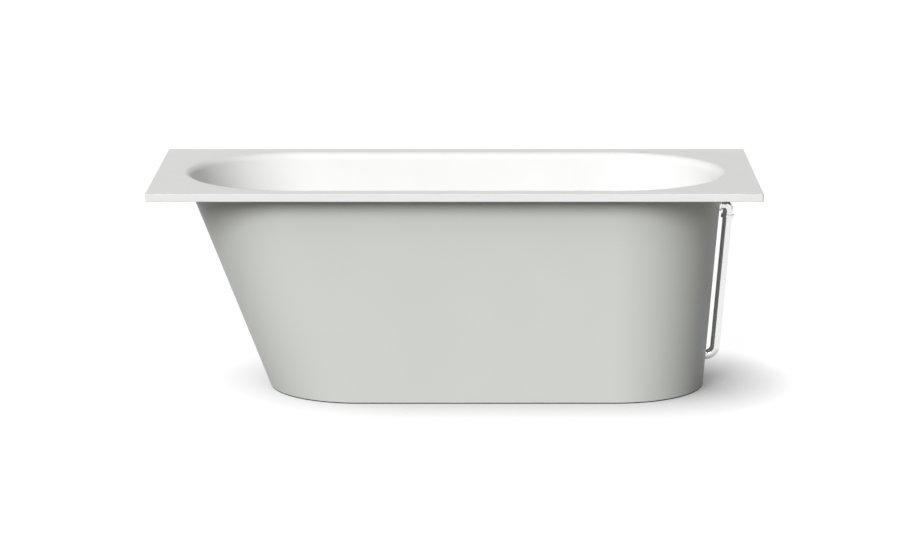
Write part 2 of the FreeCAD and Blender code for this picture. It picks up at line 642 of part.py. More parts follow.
def waste_tee():
    """Waste in from above, overflow in from the foot end, tail out below."""
    body = Part.makeCylinder(TEE_RADIUS, TEE_TOP_Z - TEE_END_Z, Vector(0, 0, TEE_END_Z))
    socket_z = WASTE_END_Z - END_GAP
    collar_low = socket_z - SOCKET_DEPTH / 2
    body = body.fuse(Part.makeCylinder(TEE_SOCKET, TEE_TOP_Z - collar_low, Vector(0, 0, collar_low)))
    port_start = Vector(0, 0, PIPE_ENTRY_Z)
    body = body.fuse(Part.makeCylinder(TEE_PORT, TEE_PORT_REACH, port_start, ALONG))
    cuts = [
        Part.makeCylinder(TEE_BORE, HEIGHT),
        Part.makeCylinder(WASTE_TUBE + SLIDE_FIT, HEIGHT, Vector(0, 0, socket_z)),
        Part.makeCylinder(TAIL_RADIUS + SLIDE_FIT, TAIL_SOCKET, Vector(0, 0, TEE_END_Z)),
        Part.makeCylinder(TEE_PORT_BORE, TEE_PORT_REACH, port_start, ALONG),
        Part.makeCylinder(PIPE_RADIUS + SLIDE_FIT, PORT_SOCKET,
                          Vector(TEE_PORT_REACH - PORT_SOCKET, 0, PIPE_ENTRY_Z), ALONG),
    ]
    for cut in cuts:
        body = body.cut(cut)
    return put(body, waste_axis(0))


def tee_top_nut():
    nut = slip_nut(TEE_SOCKET + NUT_WALL, TEE_SOCKET + SLIDE_FIT, WASTE_TUBE + LOOSE_FIT,
                   NUT_GRIP, NUT_LIP, RING_HEIGHT)
    return put(nut, waste_axis(TEE_TOP_Z - NUT_GRIP))


def tail_nut():
    nut = slip_nut(TEE_RADIUS + NUT_WALL, TEE_RADIUS + SLIDE_FIT, TAIL_RADIUS + LOOSE_FIT,
                   NUT_GRIP, NUT_LIP, RING_HEIGHT)
    return put(nut, waste_axis(TEE_END_Z + NUT_GRIP), -UP)


def port_nut():
    nut = slip_nut(TEE_PORT + NUT_WALL, TEE_PORT + SLIDE_FIT, PIPE_RADIUS + LOOSE_FIT,
                   NUT_GRIP, NUT_LIP, RING_HEIGHT)
    return put(nut, Vector(WASTE_X + TEE_PORT_REACH - NUT_GRIP, 0, PIPE_ENTRY_Z), ALONG)


def waste_tail():
    """Short pipe whose spigot goes down into a drain in the floor, as far as its collar."""
    length = TEE_END_Z + TAIL_SOCKET - END_GAP - TAIL_END_Z
    body = Part.makeCylinder(TAIL_RADIUS, length, waste_axis(TAIL_END_Z))
    collar_z = TAIL_END_Z + TAIL_SPIGOT
    body = body.fuse(Part.makeCylinder(TAIL_COLLAR_RADIUS, TAIL_COLLAR_HEIGHT, waste_axis(collar_z)))
    return body.cut(Part.makeCylinder(TAIL_RADIUS - TAIL_WALL, length, waste_axis(TAIL_END_Z)))


# Overflow

def pipe_x(z):
    """Where the overflow pipe's middle line is at a height: along the skirt's foot end."""
    sideways = (PIPE_GAP + PIPE_RADIUS) / math.cos(math.radians(SKIRT_FOOT_LEAN))
    return SKIRT.at(z)[1] + sideways


PIPE_DOWN = Vector(-slope(SKIRT_FOOT_LEAN), 0, -1).normalize()


def bent_path(start, corner, end, bend):
    """Two straight runs that meet in a tangent arc."""
    back = (start - corner).normalize()
    on = (end - corner).normalize()
    half_angle = back.getAngle(on) / 2
    run = bend / math.tan(half_angle)
    middle = (back + on).normalize()
    inner = bend / math.sin(half_angle) - bend
    arc = Part.Arc(corner + back * run, corner + middle * inner, corner + on * run)
    first = Part.LineSegment(start, corner + back * run).toShape()
    last = Part.LineSegment(corner + on * run, end).toShape()
    return Part.Wire([first, arc.toShape(), last])


def bent_rod(radius, start, corner, end, bend):
    path = bent_path(start, corner, end, bend)
    section = Part.Wire(Part.makeCircle(radius, start, corner - start))
    return path.makePipeShell([section], True, False)


WALL_X = BASIN.at(OVERFLOW_Z - GASKET_RADIUS)[1]  # the basin's wall at the gasket's lower edge
GRID_X = WALL_X - GASKET_MIN - GRID_THICKNESS
ELBOW_CORNER = Vector(pipe_x(OVERFLOW_Z), 0, OVERFLOW_Z)
PIPE_CORNER = Vector(pipe_x(PIPE_ENTRY_Z), 0, PIPE_ENTRY_Z)
NUT_TOP = ELBOW_CORNER + PIPE_DOWN * COLLAR_DROP
ELBOW_END = NUT_TOP + PIPE_DOWN * (COLLAR_HEIGHT - THIN_RING - THIN_RING)


def overflow_elbow():
    start = Vector(GRID_X + GRID_THICKNESS, 0, OVERFLOW_Z)
    rod = bent_rod(ELBOW_RADIUS, start, ELBOW_CORNER, ELBOW_END, ELBOW_BEND)
    bore = bent_rod(ELBOW_BORE, start, ELBOW_CORNER, ELBOW_END, ELBOW_BEND)
    socket = Part.makeCylinder(PIPE_RADIUS + SLIDE_FIT, COLLAR_SOCKET, ELBOW_END, -PIPE_DOWN)
    return rod.cut(bore).cut(socket)


def overflow_pipe():
    start = ELBOW_END - PIPE_DOWN * (COLLAR_SOCKET - END_GAP)
    end = Vector(WASTE_X + TEE_PORT_REACH - PORT_SOCKET + END_GAP, 0, PIPE_ENTRY_Z)
    rod = bent_rod(PIPE_RADIUS, start, PIPE_CORNER, end, PIPE_BEND)
    return rod.cut(bent_rod(PIPE_RADIUS - PIPE_WALL, start, PIPE_CORNER, end, PIPE_BEND))


def overflow_nut():
    nut = slip_nut(COLLAR_RADIUS, ELBOW_RADIUS + SLIDE_FIT, PIPE_RADIUS + LOOSE_FIT,
                   COLLAR_HEIGHT - 2 * THIN_RING, THIN_RING, THIN_RING)
    rim = 2 * (COLLAR_RADIUS - COLLAR_SOFTENING)
    nut = fillet(nut, COLLAR_SOFTENING, lambda edge: flat_at(0)(edge) and edge.BoundBox.XLength > rim)
    return put(nut, NUT_TOP, PIPE_DOWN)


def overflow_rosette():
    start = Vector(SKIRT.at(OVERFLOW_Z - ROSETTE_RADIUS)[1] - SKIRT_WALL, 0, OVERFLOW_Z)
    face_x = SKIRT.at(OVERFLOW_Z)[1] + ROSETTE_THICKNESS
    body = ring(ROSETTE_RADIUS, ELBOW_RADIUS + SLIDE_FIT, face_x - start.x, start, ALONG)
    rim = 2 * (ROSETTE_RADIUS - ROSETTE_SOFTENING)
    body = fillet(body, ROSETTE_SOFTENING, lambda edge: edge.BoundBox.XMin > face_x - 0.01
                  and edge.BoundBox.YLength > rim)
    return body.cut(SKIRT.solid(0, HEIGHT))


def overflow_spacer():
    """Bevelled ring that fills the gap between the tub shell and the skirt."""
    start = Vector(WALL_X, 0, OVERFLOW_Z)
    body = ring(SPACER_RADIUS, OVERFLOW_HOLE, CUT_REACH, start, ALONG)
    return body.common(SKIRT.solid(0, HEIGHT, -SKIRT_WALL)).cut(BASIN.solid(FLOOR_Z, HEIGHT, SKIN))


def overflow_gasket():
    """Bevelled ring between the grid's flat flange and the basin's leaning wall."""
    start = Vector(GRID_X + GRID_THICKNESS, 0, OVERFLOW_Z)
    body = ring(GASKET_RADIUS, OVERFLOW_HOLE, CUT_REACH, start, ALONG)
    return body.common(BASIN.solid(FLOOR_Z, HEIGHT))


def overflow_grid():
    """Flange inside the basin, with a threaded spigot into the elbow and a cross for the screw."""
    flange = Part.makeCylinder(GASKET_RADIUS, GRID_THICKNESS)
    spigot = ELBOW_BORE - SLIDE_FIT
    bore = spigot - GRID_WALL
    body = flange.fuse(Part.makeCylinder(spigot, GRID_THICKNESS + GRID_SPIGOT))
    body = body.cut(Part.makeCylinder(bore, GRID_THICKNESS + GRID_SPIGOT))
    half = GRID_BAR / 2
    reach = bore + GRID_WALL / 2
    depth = 2 * GRID_THICKNESS
    cross = block(-reach, reach, -half, half, 0, depth)
    cross = cross.fuse(block(-half, half, -reach, reach, 0, depth))
    cross = cross.fuse(Part.makeCylinder(GRID_HUB, depth))
    body = body.fuse(cross).cut(Part.makeCylinder(COVER_SCREW, depth))
    return put(body, Vector(GRID_X, 0, OVERFLOW_Z), ALONG)


COVER_X = GRID_X - COVER_DEPTH + GRID_THICKNESS


def overflow_cover():
    """Shallow cup that hides the grid: water runs in round its edge."""
    cup = Part.makeCylinder(COVER_RADIUS, COVER_DEPTH)
    cup = fillet(cup, COVER_SOFTENING, flat_at(0))
    inner_length = COVER_DEPTH - COVER_WALL
    cup = cup.cut(Part.makeCylinder(COVER_RADIUS - COVER_WALL, inner_length, Vector(0, 0, COVER_WALL)))
    post_length = GRID_X - COVER_X - COVER_WALL
    cup = cup.fuse(Part.makeCylinder(GRID_HUB, post_length, Vector(0, 0, COVER_WALL)))
    cup = cup.cut(Part.makeCylinder(COVER_SCREW, COVER_DEPTH))
    return put(cup, Vector(COVER_X, 0, OVERFLOW_Z), ALONG)


def overflow_screw():
    head_height = COVER_SCREW_HEAD_HEIGHT
    head = Part.makeCylinder(COVER_SCREW_HEAD, head_height, Vector(0, 0, -head_height))
    head = fillet(head, head_height / 2, flat_at(-head_height))
    half = COVER_SCREW_SLOT / 2
    slot = block(-COVER_SCREW_HEAD, COVER_SCREW_HEAD, -half, half, -head_height, -head_height / 2)
    shank = Part.makeCylinder(COVER_SCREW, COVER_SCREW_LENGTH)
    return put(head.cut(slot).fuse(shank), Vector(COVER_X, 0, OVERFLOW_Z), ALONG)


def pipe_grommet():
    """Rubber ring in the skirt's lower hole, flush outside."""
    start = Vector(SKIRT.at(PIPE_ENTRY_Z)[1] - GROMMET_LENGTH, 0, PIPE_ENTRY_Z)
    body = ring(PIPE_RADIUS + GROMMET_WALL, PIPE_RADIUS + LOOSE_FIT, 2 * GROMMET_LENGTH, start, ALONG)
    return body.common(SKIRT.solid(0, HEIGHT))


def pieces():
    parts = {
        "tub_shell": tub_shell(),
        "rim_frame": rim_frame(),
        "skirt_panel": skirt_panel(),
        "skirt_screws": skirt_screws(),
        "skirt_seal": skirt_seal(),
        "skirt_packers": skirt_packers(),
        "base_board": base_board(),
        "rail_screws": board_screws(rail_screw_places(), WEB_Z),
        "middle_foot_plate": middle_foot_plate(),
        "plate_screws": board_screws(plate_screw_places(), PLATE_Z),
        "foot_nuts": foot_nuts(),
        "waste_flange": waste_flange(),
        "waste_upper_seal": ring(SEAL_RADIUS, WASTE_TUBE + LOOSE_FIT, UPPER_SEAL, waste_axis(SEAT_Z)),
        "waste_lower_seal": ring(LOWER_SEAL_RADIUS, WASTE_TUBE + LOOSE_FIT, LOWER_SEAL,
                                 waste_axis(SHELL_BOTTOM_Z - LOWER_SEAL)),
        "waste_washer": ring(LOWER_SEAL_RADIUS, WASTE_TUBE + LOOSE_FIT, WASHER,
                             waste_axis(SHELL_BOTTOM_Z - LOWER_SEAL - WASHER)),
        "waste_back_nut": back_nut(),
        "plug_cap": plug_cap(),
        "plug_seal": plug_seal(),
        "plug_stem": plug_stem(),
        "plug_cartridge": plug_cartridge(),
        "plug_spring": plug_spring(),
        "waste_tee": waste_tee(),
        "tee_top_ring": ring(TEE_SOCKET, WASTE_TUBE + SLIDE_FIT, RING_HEIGHT, waste_axis(TEE_TOP_Z)),
        "tee_top_nut": tee_top_nut(),
        "tee_port_ring": ring(TEE_PORT, PIPE_RADIUS + SLIDE_FIT, RING_HEIGHT,
                              Vector(WASTE_X + TEE_PORT_REACH, 0, PIPE_ENTRY_Z), ALONG),
        "tee_port_nut": port_nut(),
        "tail_ring": ring(TEE_RADIUS, TAIL_RADIUS + SLIDE_FIT, RING_HEIGHT,
                          waste_axis(TEE_END_Z - RING_HEIGHT)),
        "tail_nut": tail_nut(),
        "waste_tail": waste_tail(),
        "overflow_cover": overflow_cover(),
        "overflow_screw": overflow_screw(),
        "overflow_grid": overflow_grid(),
        "overflow_gasket": overflow_gasket(),
        "overflow_spacer": overflow_spacer(),
        "overflow_rosette": overflow_rosette(),
        "overflow_elbow": overflow_elbow(),
        "overflow_nut": overflow_nut(),
        "overflow_ring": ring(ELBOW_RADIUS, PIPE_RADIUS + SLIDE_FIT, THIN_RING, ELBOW_END, PIPE_DOWN),
        "overflow_pipe": overflow_pipe(),
        "pipe_grommet": pipe_grommet(),
    }
    for end, x in rails():
        parts["cradle_rail_" + end] = cradle_rail(x)
    for name, x, y, top in feet():
        parts["foot_stud_" + name] = foot_stud(x, y, top)
        parts["foot_pad_" + name] = foot_pad(x, y)
    return parts


os.makedirs("parts", exist_ok=True)
for name, shape in pieces().items():
    solids = shape.Solids
    assert solids and all(solid.isClosed() and solid.isValid() for solid in solids), name
    shape.exportStep("parts/" + name + ".step")
    print(f"{name}: {len(solids)} solid(s), {shape.Volume / 1000:.1f} cm3")
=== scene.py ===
import bpy
import bmesh
import json
import math
import numpy as np
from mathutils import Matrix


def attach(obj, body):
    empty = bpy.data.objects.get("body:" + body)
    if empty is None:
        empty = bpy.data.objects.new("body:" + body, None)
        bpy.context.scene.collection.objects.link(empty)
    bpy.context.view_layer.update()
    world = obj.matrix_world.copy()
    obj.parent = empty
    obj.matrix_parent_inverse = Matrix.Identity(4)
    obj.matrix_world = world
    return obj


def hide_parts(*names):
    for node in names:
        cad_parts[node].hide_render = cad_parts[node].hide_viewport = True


# A bath with a flat rectangular rim, an oval basin and a separate skirt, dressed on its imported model.
# +X points to the foot end, where the waste and the overflow are, and -Y to the front. Sizes are in
# millimetres, as in the drawing of the bath, and become metres where a piece's mesh is made.
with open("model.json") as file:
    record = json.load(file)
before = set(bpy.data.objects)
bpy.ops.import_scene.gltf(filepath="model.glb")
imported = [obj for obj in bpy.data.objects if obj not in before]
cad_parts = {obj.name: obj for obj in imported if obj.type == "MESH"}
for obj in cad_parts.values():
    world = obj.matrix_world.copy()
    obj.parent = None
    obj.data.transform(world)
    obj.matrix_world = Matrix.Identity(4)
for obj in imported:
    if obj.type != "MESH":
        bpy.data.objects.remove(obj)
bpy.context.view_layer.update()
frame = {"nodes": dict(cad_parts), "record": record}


# ----------------------------------------
# Tub shell: one sheet of white acrylic drawn into a flat rim and an oval basin, stiffened below by
# glass fibre rolled on in resin. Its rim lies on the rim frame, and its floor on the base board.

HEIGHT = 620.0
RIM_LENGTH = 1700.0
RIM_WIDTH = 750.0
RIM_EDGE = 22.0
RIM_CORNER = 5.0
RIM_SOFTENING = 1.5
SHELL_SKIN = 5.0
OPENING_LENGTH = 1544.0
OPENING_WIDTH = 650.0
EDGE_RADIUS = 25.0
BASIN_FLOOR_Z = 178.0
BASIN_BOTTOM_Z = 172.0
FLOOR_RADIUS = 70.0
BASIN_LEANS = (24.0, 9.0, 8.0)      # degrees from upright: head, foot, sides
WASTE_SETBACK = 66.0
DISH_RADIUS = 45.0
DISH_SLOPE = 5.0
DISH_DEPTH = 2.5
WASTE_HOLE = 26.0
WASTE_HOLE_SOFTENING = 0.8
OVERFLOW_Z = 523.0
OVERFLOW_HOLE = 16.0

ARC_STEPS = 160                     # points round each end of an oval
SIDE_STEPS = 48                     # points along each straight side
CORNER_SPREAD = math.radians(7.0)   # the rays from an oval's end that land on the rim's corner
CORNER_MARGIN = 0.08                # share of them on each side that only meets the corner's end
TINY = 1e-9

# Every oval of the bath has the same run of points: along the front from head to foot, half a turn
# round the foot end, along the back, and half a turn round the head end.
side_share = np.arange(SIDE_STEPS) / SIDE_STEPS
half_turn = np.pi * np.arange(ARC_STEPS) / ARC_STEPS - np.pi / 2
towards_foot = np.concatenate([side_share, np.ones(ARC_STEPS), 1 - side_share, np.zeros(ARC_STEPS)])
loop_angle = np.concatenate([np.full(SIDE_STEPS, -np.pi / 2), half_turn,
                             np.full(SIDE_STEPS, np.pi / 2), half_turn + np.pi])
out_x = np.round(np.cos(loop_angle), 12)
out_y = np.round(np.sin(loop_angle), 12)


def xyz(x, y, z):
    """Points with these coordinates, each a number or an array."""
    return np.stack(np.broadcast_arrays(x, y, z), axis=-1)


OUTWARD = xyz(out_x, out_y, 0.0)
UPWARD = np.array([0.0, 0.0, 1.0])


class OvalWall:
    """Wall round an oval that leans outward as it rises, by its own angle at the head, foot and sides."""

    def __init__(self, head, foot, radius, z, leans):
        self.head, self.foot, self.radius, self.z = head, foot, radius, z
        self.head_slope, self.foot_slope, self.side_slope = np.tan(np.radians(leans))

    def centres(self, z):
        """Along X, the middle of the half circle that each point of the loop belongs to."""
        rise = z - self.z
        head = self.head + self.radius + rise * (self.side_slope - self.head_slope)
        foot = self.foot - self.radius + rise * (self.foot_slope - self.side_slope)
        return head + (foot - head) * towards_foot

    def loop(self, z, grow=0.0):
        """Points at height z: the half circle's middle plus its radius, grown, along the way outward."""
        radius = self.radius + (z - self.z) * self.side_slope + grow
        return xyz(self.centres(z) + radius * out_x, radius * out_y, z)

    def lean(self):
        """Angle from upright at each point: arc tangent of how fast the wall moves outward with height."""
        ends = (self.side_slope - self.head_slope) * (1 - towards_foot) \
            + (self.foot_slope - self.side_slope) * towards_foot
        return np.arctan(self.side_slope + ends * out_x)

    def foot_x(self, z, y=0.0):
        """Along X, where the wall's foot end is at a height and a distance from the middle."""
        rise = z - self.z
        radius = self.radius + rise * self.side_slope
        middle = self.foot - self.radius + rise * (self.foot_slope - self.side_slope)
        return middle + np.sqrt(radius ** 2 - np.square(y))

    def rounding(self, flat_z, radius, side, steps, grow=0.0):
        """Loops of the round between this wall and a flat, which is above the round for side 1 and below it
        for side -1. A ball of that radius touches both: its middle is a radius from the flat and, square to
        the wall, a radius from it. The loops turn about the middle from the flat to the wall."""
        lean = self.lean()
        touch_z = flat_z - side * radius * (1 - np.sin(lean))
        middle = self.loop(touch_z, grow + side * radius * np.cos(lean))
        middle[:, 2] = flat_z - side * radius
        turn = np.linspace(0, 1, steps + 1)[:, None, None] * (np.pi / 2 - lean)[None, :, None]
        return middle + side * radius * (np.cos(turn) * UPWARD - np.sin(turn) * OUTWARD)


def between(first, last, shares):
    """Loops on the straight lines from one loop to another, at these shares of the way."""
    return first + (last - first) * np.asarray(shares, float)[:, None, None]


def rim_loop(inset, z):
    """Points on the rim's rectangle, drawn in by inset. Each lies where the ray from its half circle's middle
    meets the rectangle, except that the rays near a corner are spread round the corner's own small circle."""
    middle = BASIN.centres(HEIGHT)
    reach, half = RIM_LENGTH / 2 - np.abs(middle), RIM_WIDTH / 2
    ray = np.arctan2(np.abs(out_y), np.abs(out_x))
    slope = np.tan(np.clip(ray, TINY, np.pi / 2 - TINY))
    along = np.minimum(reach - inset, (half - inset) / slope)
    across = np.minimum(half - inset, (reach - inset) * slope)
    turn = np.clip((ray - np.arctan2(half, reach)) / (2 * CORNER_SPREAD) + 0.5, 0, 1)
    near = (turn > 0) & (turn < 1)
    turn = np.clip((turn - CORNER_MARGIN) / (1 - 2 * CORNER_MARGIN), 0, 1) * np.pi / 2
    radius, centre = max(RIM_CORNER - inset, 0.0), max(RIM_CORNER, inset)
    along = np.where(near, reach - centre + radius * np.cos(turn), along)
    across = np.where(near, half - centre + radius * np.sin(turn), across)
    return xyz(middle + np.sign(out_x) * along, np.sign(out_y) * across, z)


def waste_loops(edge, profile):
    """Circles round the waste, as (radius, height) pairs. Each point lies in the direction in which the
    matching point of the loop named edge is seen from the waste's middle."""
    direction = np.arctan2(edge[:, 1], edge[:, 0] - WASTE_X)
    radius, z = np.array(profile, float).T[:, :, None]
    return xyz(WASTE_X + radius * np.cos(direction), radius * np.sin(direction), z)


def quarter(start, end, bulge, steps=4):
    """Arc in a profile from one (a, b) point to another, a quarter turn whose corner is at bulge."""
    turn = np.linspace(0, np.pi / 2, steps + 1)[:, None]
    start, end, bulge = np.array(start, float), np.array(end, float), np.array(bulge, float)
    middle = start + end - bulge
    return middle + (start - middle) * np.cos(turn) + (end - middle) * np.sin(turn)


def ring_mesh(name, rings, wrap=True):
    """Mesh of rings of points, each joined to the next by four-sided faces and closed on itself. With wrap
    the last ring joins the first, and otherwise both ends are filled."""
    rings = np.asarray(rings, float)
    count, around = rings.shape[:2]
    index = np.arange(count * around).reshape(count, around)
    below = index if wrap else index[:-1]
    above = np.roll(index, -1, axis=0) if wrap else index[1:]
    faces = np.stack([below, np.roll(below, -1, axis=1), np.roll(above, -1, axis=1), above], axis=2)
    faces = faces.reshape(-1, 4).tolist()
    if not wrap:
        faces += [index[0].tolist(), index[-1].tolist()]
    mesh = bpy.data.meshes.new(name)
    mesh.from_pydata((rings.reshape(-1, 3) / 1000).tolist(), [], faces)
    return mesh


def in_rings(mesh, materials, ring_slots):
    """The mesh with these materials, where each ring's faces take the slot listed for that ring."""
    for material in materials:
        mesh.materials.append(material)
    around = len(mesh.polygons) // len(ring_slots)
    mesh.polygons.foreach_set("material_index", np.repeat(np.array(ring_slots, np.int32), around))
    return mesh


def closed_form(mesh):
    """The mesh with its seams merged and its faces turned outward."""
    form = bmesh.new()
    form.from_mesh(mesh)
    bmesh.ops.remove_doubles(form, verts=form.verts, dist=1e-6)
    bmesh.ops.recalc_face_normals(form, faces=form.faces)
    form.to_mesh(mesh)
    form.free()
    return mesh


SHARP_ANGLE = math.radians(38.0)


def add_piece(mesh, materials, body, node):
    """The finished piece: a closed form, smooth but for its sharp edges, that rides on its body and stands
    for the node that it replaces. A mesh that has materials of its own comes with none here."""
    closed_form(mesh)
    for material in materials:
        mesh.materials.append(material)
    mesh.shade_smooth()
    mesh.set_sharp_from_angle(angle=SHARP_ANGLE)
    piece = bpy.data.objects.new(mesh.name, mesh)
    bpy.context.scene.collection.objects.link(piece)
    piece.modifiers.new("even shading", "WEIGHTED_NORMAL").keep_sharp = True
    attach(piece, body)
    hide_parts(node)


def full_turn(steps):
    """Angles of points evenly round a circle."""
    return 2 * np.pi * np.arange(steps) / steps


DRILL_STEPS = 64
DRILL_REACH = 40.0                  # past the middle of a wall, on both sides


def drill(mesh, radius, start, end):
    """Cuts a round hole through a closed mesh, from one point to another."""
    axis = np.array(end, float) - start
    turn = full_turn(DRILL_STEPS)[:, None]
    sideways = np.array([0.0, 1.0, 0.0])
    square = np.cross(axis, sideways)
    circle = radius * (np.cos(turn) * sideways + np.sin(turn) * square / np.linalg.norm(square))
    rod = closed_form(ring_mesh("drill", [start + circle, end + circle], wrap=False))
    tool, blank = bpy.data.objects.new("drill", rod), bpy.data.objects.new("blank", mesh)
    for item in (tool, blank):
        bpy.context.scene.collection.objects.link(item)
    cut = blank.modifiers.new("hole", "BOOLEAN")
    cut.operation = "DIFFERENCE"
    cut.solver = "EXACT"
    cut.object = tool
    bpy.context.view_layer.update()
    drilled = bpy.data.meshes.new_from_object(blank.evaluated_get(bpy.context.evaluated_depsgraph_get()))
    name = mesh.name
    bpy.data.meshes.remove(mesh)
    bpy.data.meshes.remove(rod)
    drilled.name = name
    return drilled


def drill_foot_end(mesh, wall, radius, z):
    """Cuts a level hole through the middle of a wall's foot end."""
    x = float(wall.foot_x(z))
    return drill(mesh, radius, (x - DRILL_REACH, 0, z), (x + DRILL_REACH, 0, z))


def tangent_length(radius, lean):
    """How far a round runs from the corner between a flat and a wall that leans by these degrees."""
    return radius * math.tan(math.radians((90.0 - lean) / 2))


BASIN = OvalWall(-OPENING_LENGTH / 2 + tangent_length(EDGE_RADIUS, BASIN_LEANS[0]),
                 OPENING_LENGTH / 2 - tangent_length(EDGE_RADIUS, BASIN_LEANS[1]),
                 OPENING_WIDTH / 2 - tangent_length(EDGE_RADIUS, BASIN_LEANS[2]), HEIGHT, BASIN_LEANS)
WASTE_X = float(BASIN.foot_x(BASIN_FLOOR_Z)) - tangent_length(FLOOR_RADIUS, BASIN_LEANS[1]) - WASTE_SETBACK


def feed(tree, socket, value):
    """Gives a socket a value or an opaque colour, or links it to the output of another node."""
    if isinstance(value, bpy.types.NodeSocket):
        tree.links.new(value, socket)
    else:
        socket.default_value = (*value, 1.0) if socket.type == "RGBA" else value


def add_node(tree, kind, inputs=(), **settings):
    """New shader node with these settings, whose inputs are fed by name or by number."""
    node = tree.nodes.new("ShaderNode" + kind)
    for name, value in settings.items():
        setattr(node, name, value)
    for name, value in dict(inputs).items():
        feed(tree, node.inputs[name], value)
    return node


def start_material(name, metallic=0.0, ior=1.5, specular=0.5):
    """New material. Returns it, its node tree, its Principled shader and the object coordinates, which all
    of the bath's patterns are laid out on."""
    material = bpy.data.materials.new(name)
    material.use_nodes = True
    tree = material.node_tree
    shader = tree.nodes["Principled BSDF"]
    for socket, value in (("Metallic", metallic), ("IOR", ior), ("Specular IOR Level", specular)):
        shader.inputs[socket].default_value = value
    return material, tree, shader, add_node(tree, "TexCoord").outputs["Object"]


def cloudy(tree, at, spots, stretch=(1.0, 1.0, 1.0)):
    """Soft random pattern from 0 to 1. spots are how many a metre and their detail, and stretch narrows
    them along the axes."""
    at = add_node(tree, "Mapping", {"Vector": at, "Scale": stretch}).outputs["Vector"]
    scale, detail = spots
    return add_node(tree, "TexNoise", {"Vector": at, "Scale": scale, "Detail": detail}).outputs["Fac"]


def spread(tree, pattern, low, high, start=0.3, end=0.7):
    """Numbers from low to high as the pattern goes from start to end."""
    return add_node(tree, "MapRange", {"Value": pattern, "From Min": start, "From Max": end,
                                       "To Min": low, "To Max": high}).outputs["Result"]


def two_colours(tree, share, first, second):
    """Colour between two, each a colour or the output of a node."""
    return add_node(tree, "Mix", {"Factor": share, 6: first, 7: second}, data_type="RGBA").outputs[2]


def larger(tree, first, second):
    """The larger of two numbers, each a number or the output of a node."""
    return add_node(tree, "Math", {0: first, 1: second}, operation="MAXIMUM").outputs["Value"]


def dress(tree, shader, colour, roughness, height=None, depth=0.0, strength=0.0):
    """Gives the shader its colour and roughness, and bumps it by height, where 1 stands depth metres above
    0."""
    feed(tree, shader.inputs["Base Color"], colour)
    feed(tree, shader.inputs["Roughness"], roughness)
    if height is not None:
        bump = add_node(tree, "Bump", {"Height": height, "Distance": depth, "Strength": strength})
        feed(tree, shader.inputs["Normal"], bump.outputs["Normal"])


def coat(name, dark, light, drift, rough, grain=None, bumps=None, **shader_values):
    """Even finish. Its colour drifts between dark and light over the spots of drift, and its roughness
    between two numbers over those of grain. bumps are the relief's spots, depth in metres and strength."""
    material, tree, shader, at = start_material(name, **shader_values)
    colour = two_colours(tree, spread(tree, cloudy(tree, at, drift), 0.0, 1.0), dark, light)
    dress(tree, shader, colour, spread(tree, cloudy(tree, at, grain or drift), *rough),
          *((cloudy(tree, at, bumps[0]), *bumps[1:]) if bumps else ()))
    return material


def fibre_backing():
    """Glass fibre rolled on in resin: milky, with chopped strands lying in all directions."""
    material, tree, shader, at = start_material("fibre backing")
    layers = []
    for turn in range(3):
        laid = add_node(tree, "Mapping", {"Vector": at, "Rotation": (0.5 * turn, 0.9 * turn, 1.1 * turn)})
        layers.append(cloudy(tree, laid.outputs["Vector"], (60.0, 4.0), (1.0, 9.0, 9.0)))
    strands = larger(tree, larger(tree, layers[0], layers[1]), layers[2])
    share = spread(tree, strands, 0.0, 1.0, 0.45, 0.75)
    colour = two_colours(tree, share, (0.62, 0.61, 0.54), (0.83, 0.82, 0.77))
    dress(tree, shader, colour, spread(tree, strands, 0.6, 0.4), strands, 0.0012, 0.6)
    return material


# Gloss white with the faint long waves of a drawn sheet.
WHITE_ACRYLIC = coat("white acrylic", (0.797, 0.795, 0.788), (0.812, 0.810, 0.803), drift=(9.0, 2.0),
                     rough=(0.30, 0.36), grain=(40.0, 3.0), bumps=((9.0, 2.0), 0.0006, 0.25),
                     ior=1.49, specular=0.2)
FIBRE_BACKING = fibre_backing()


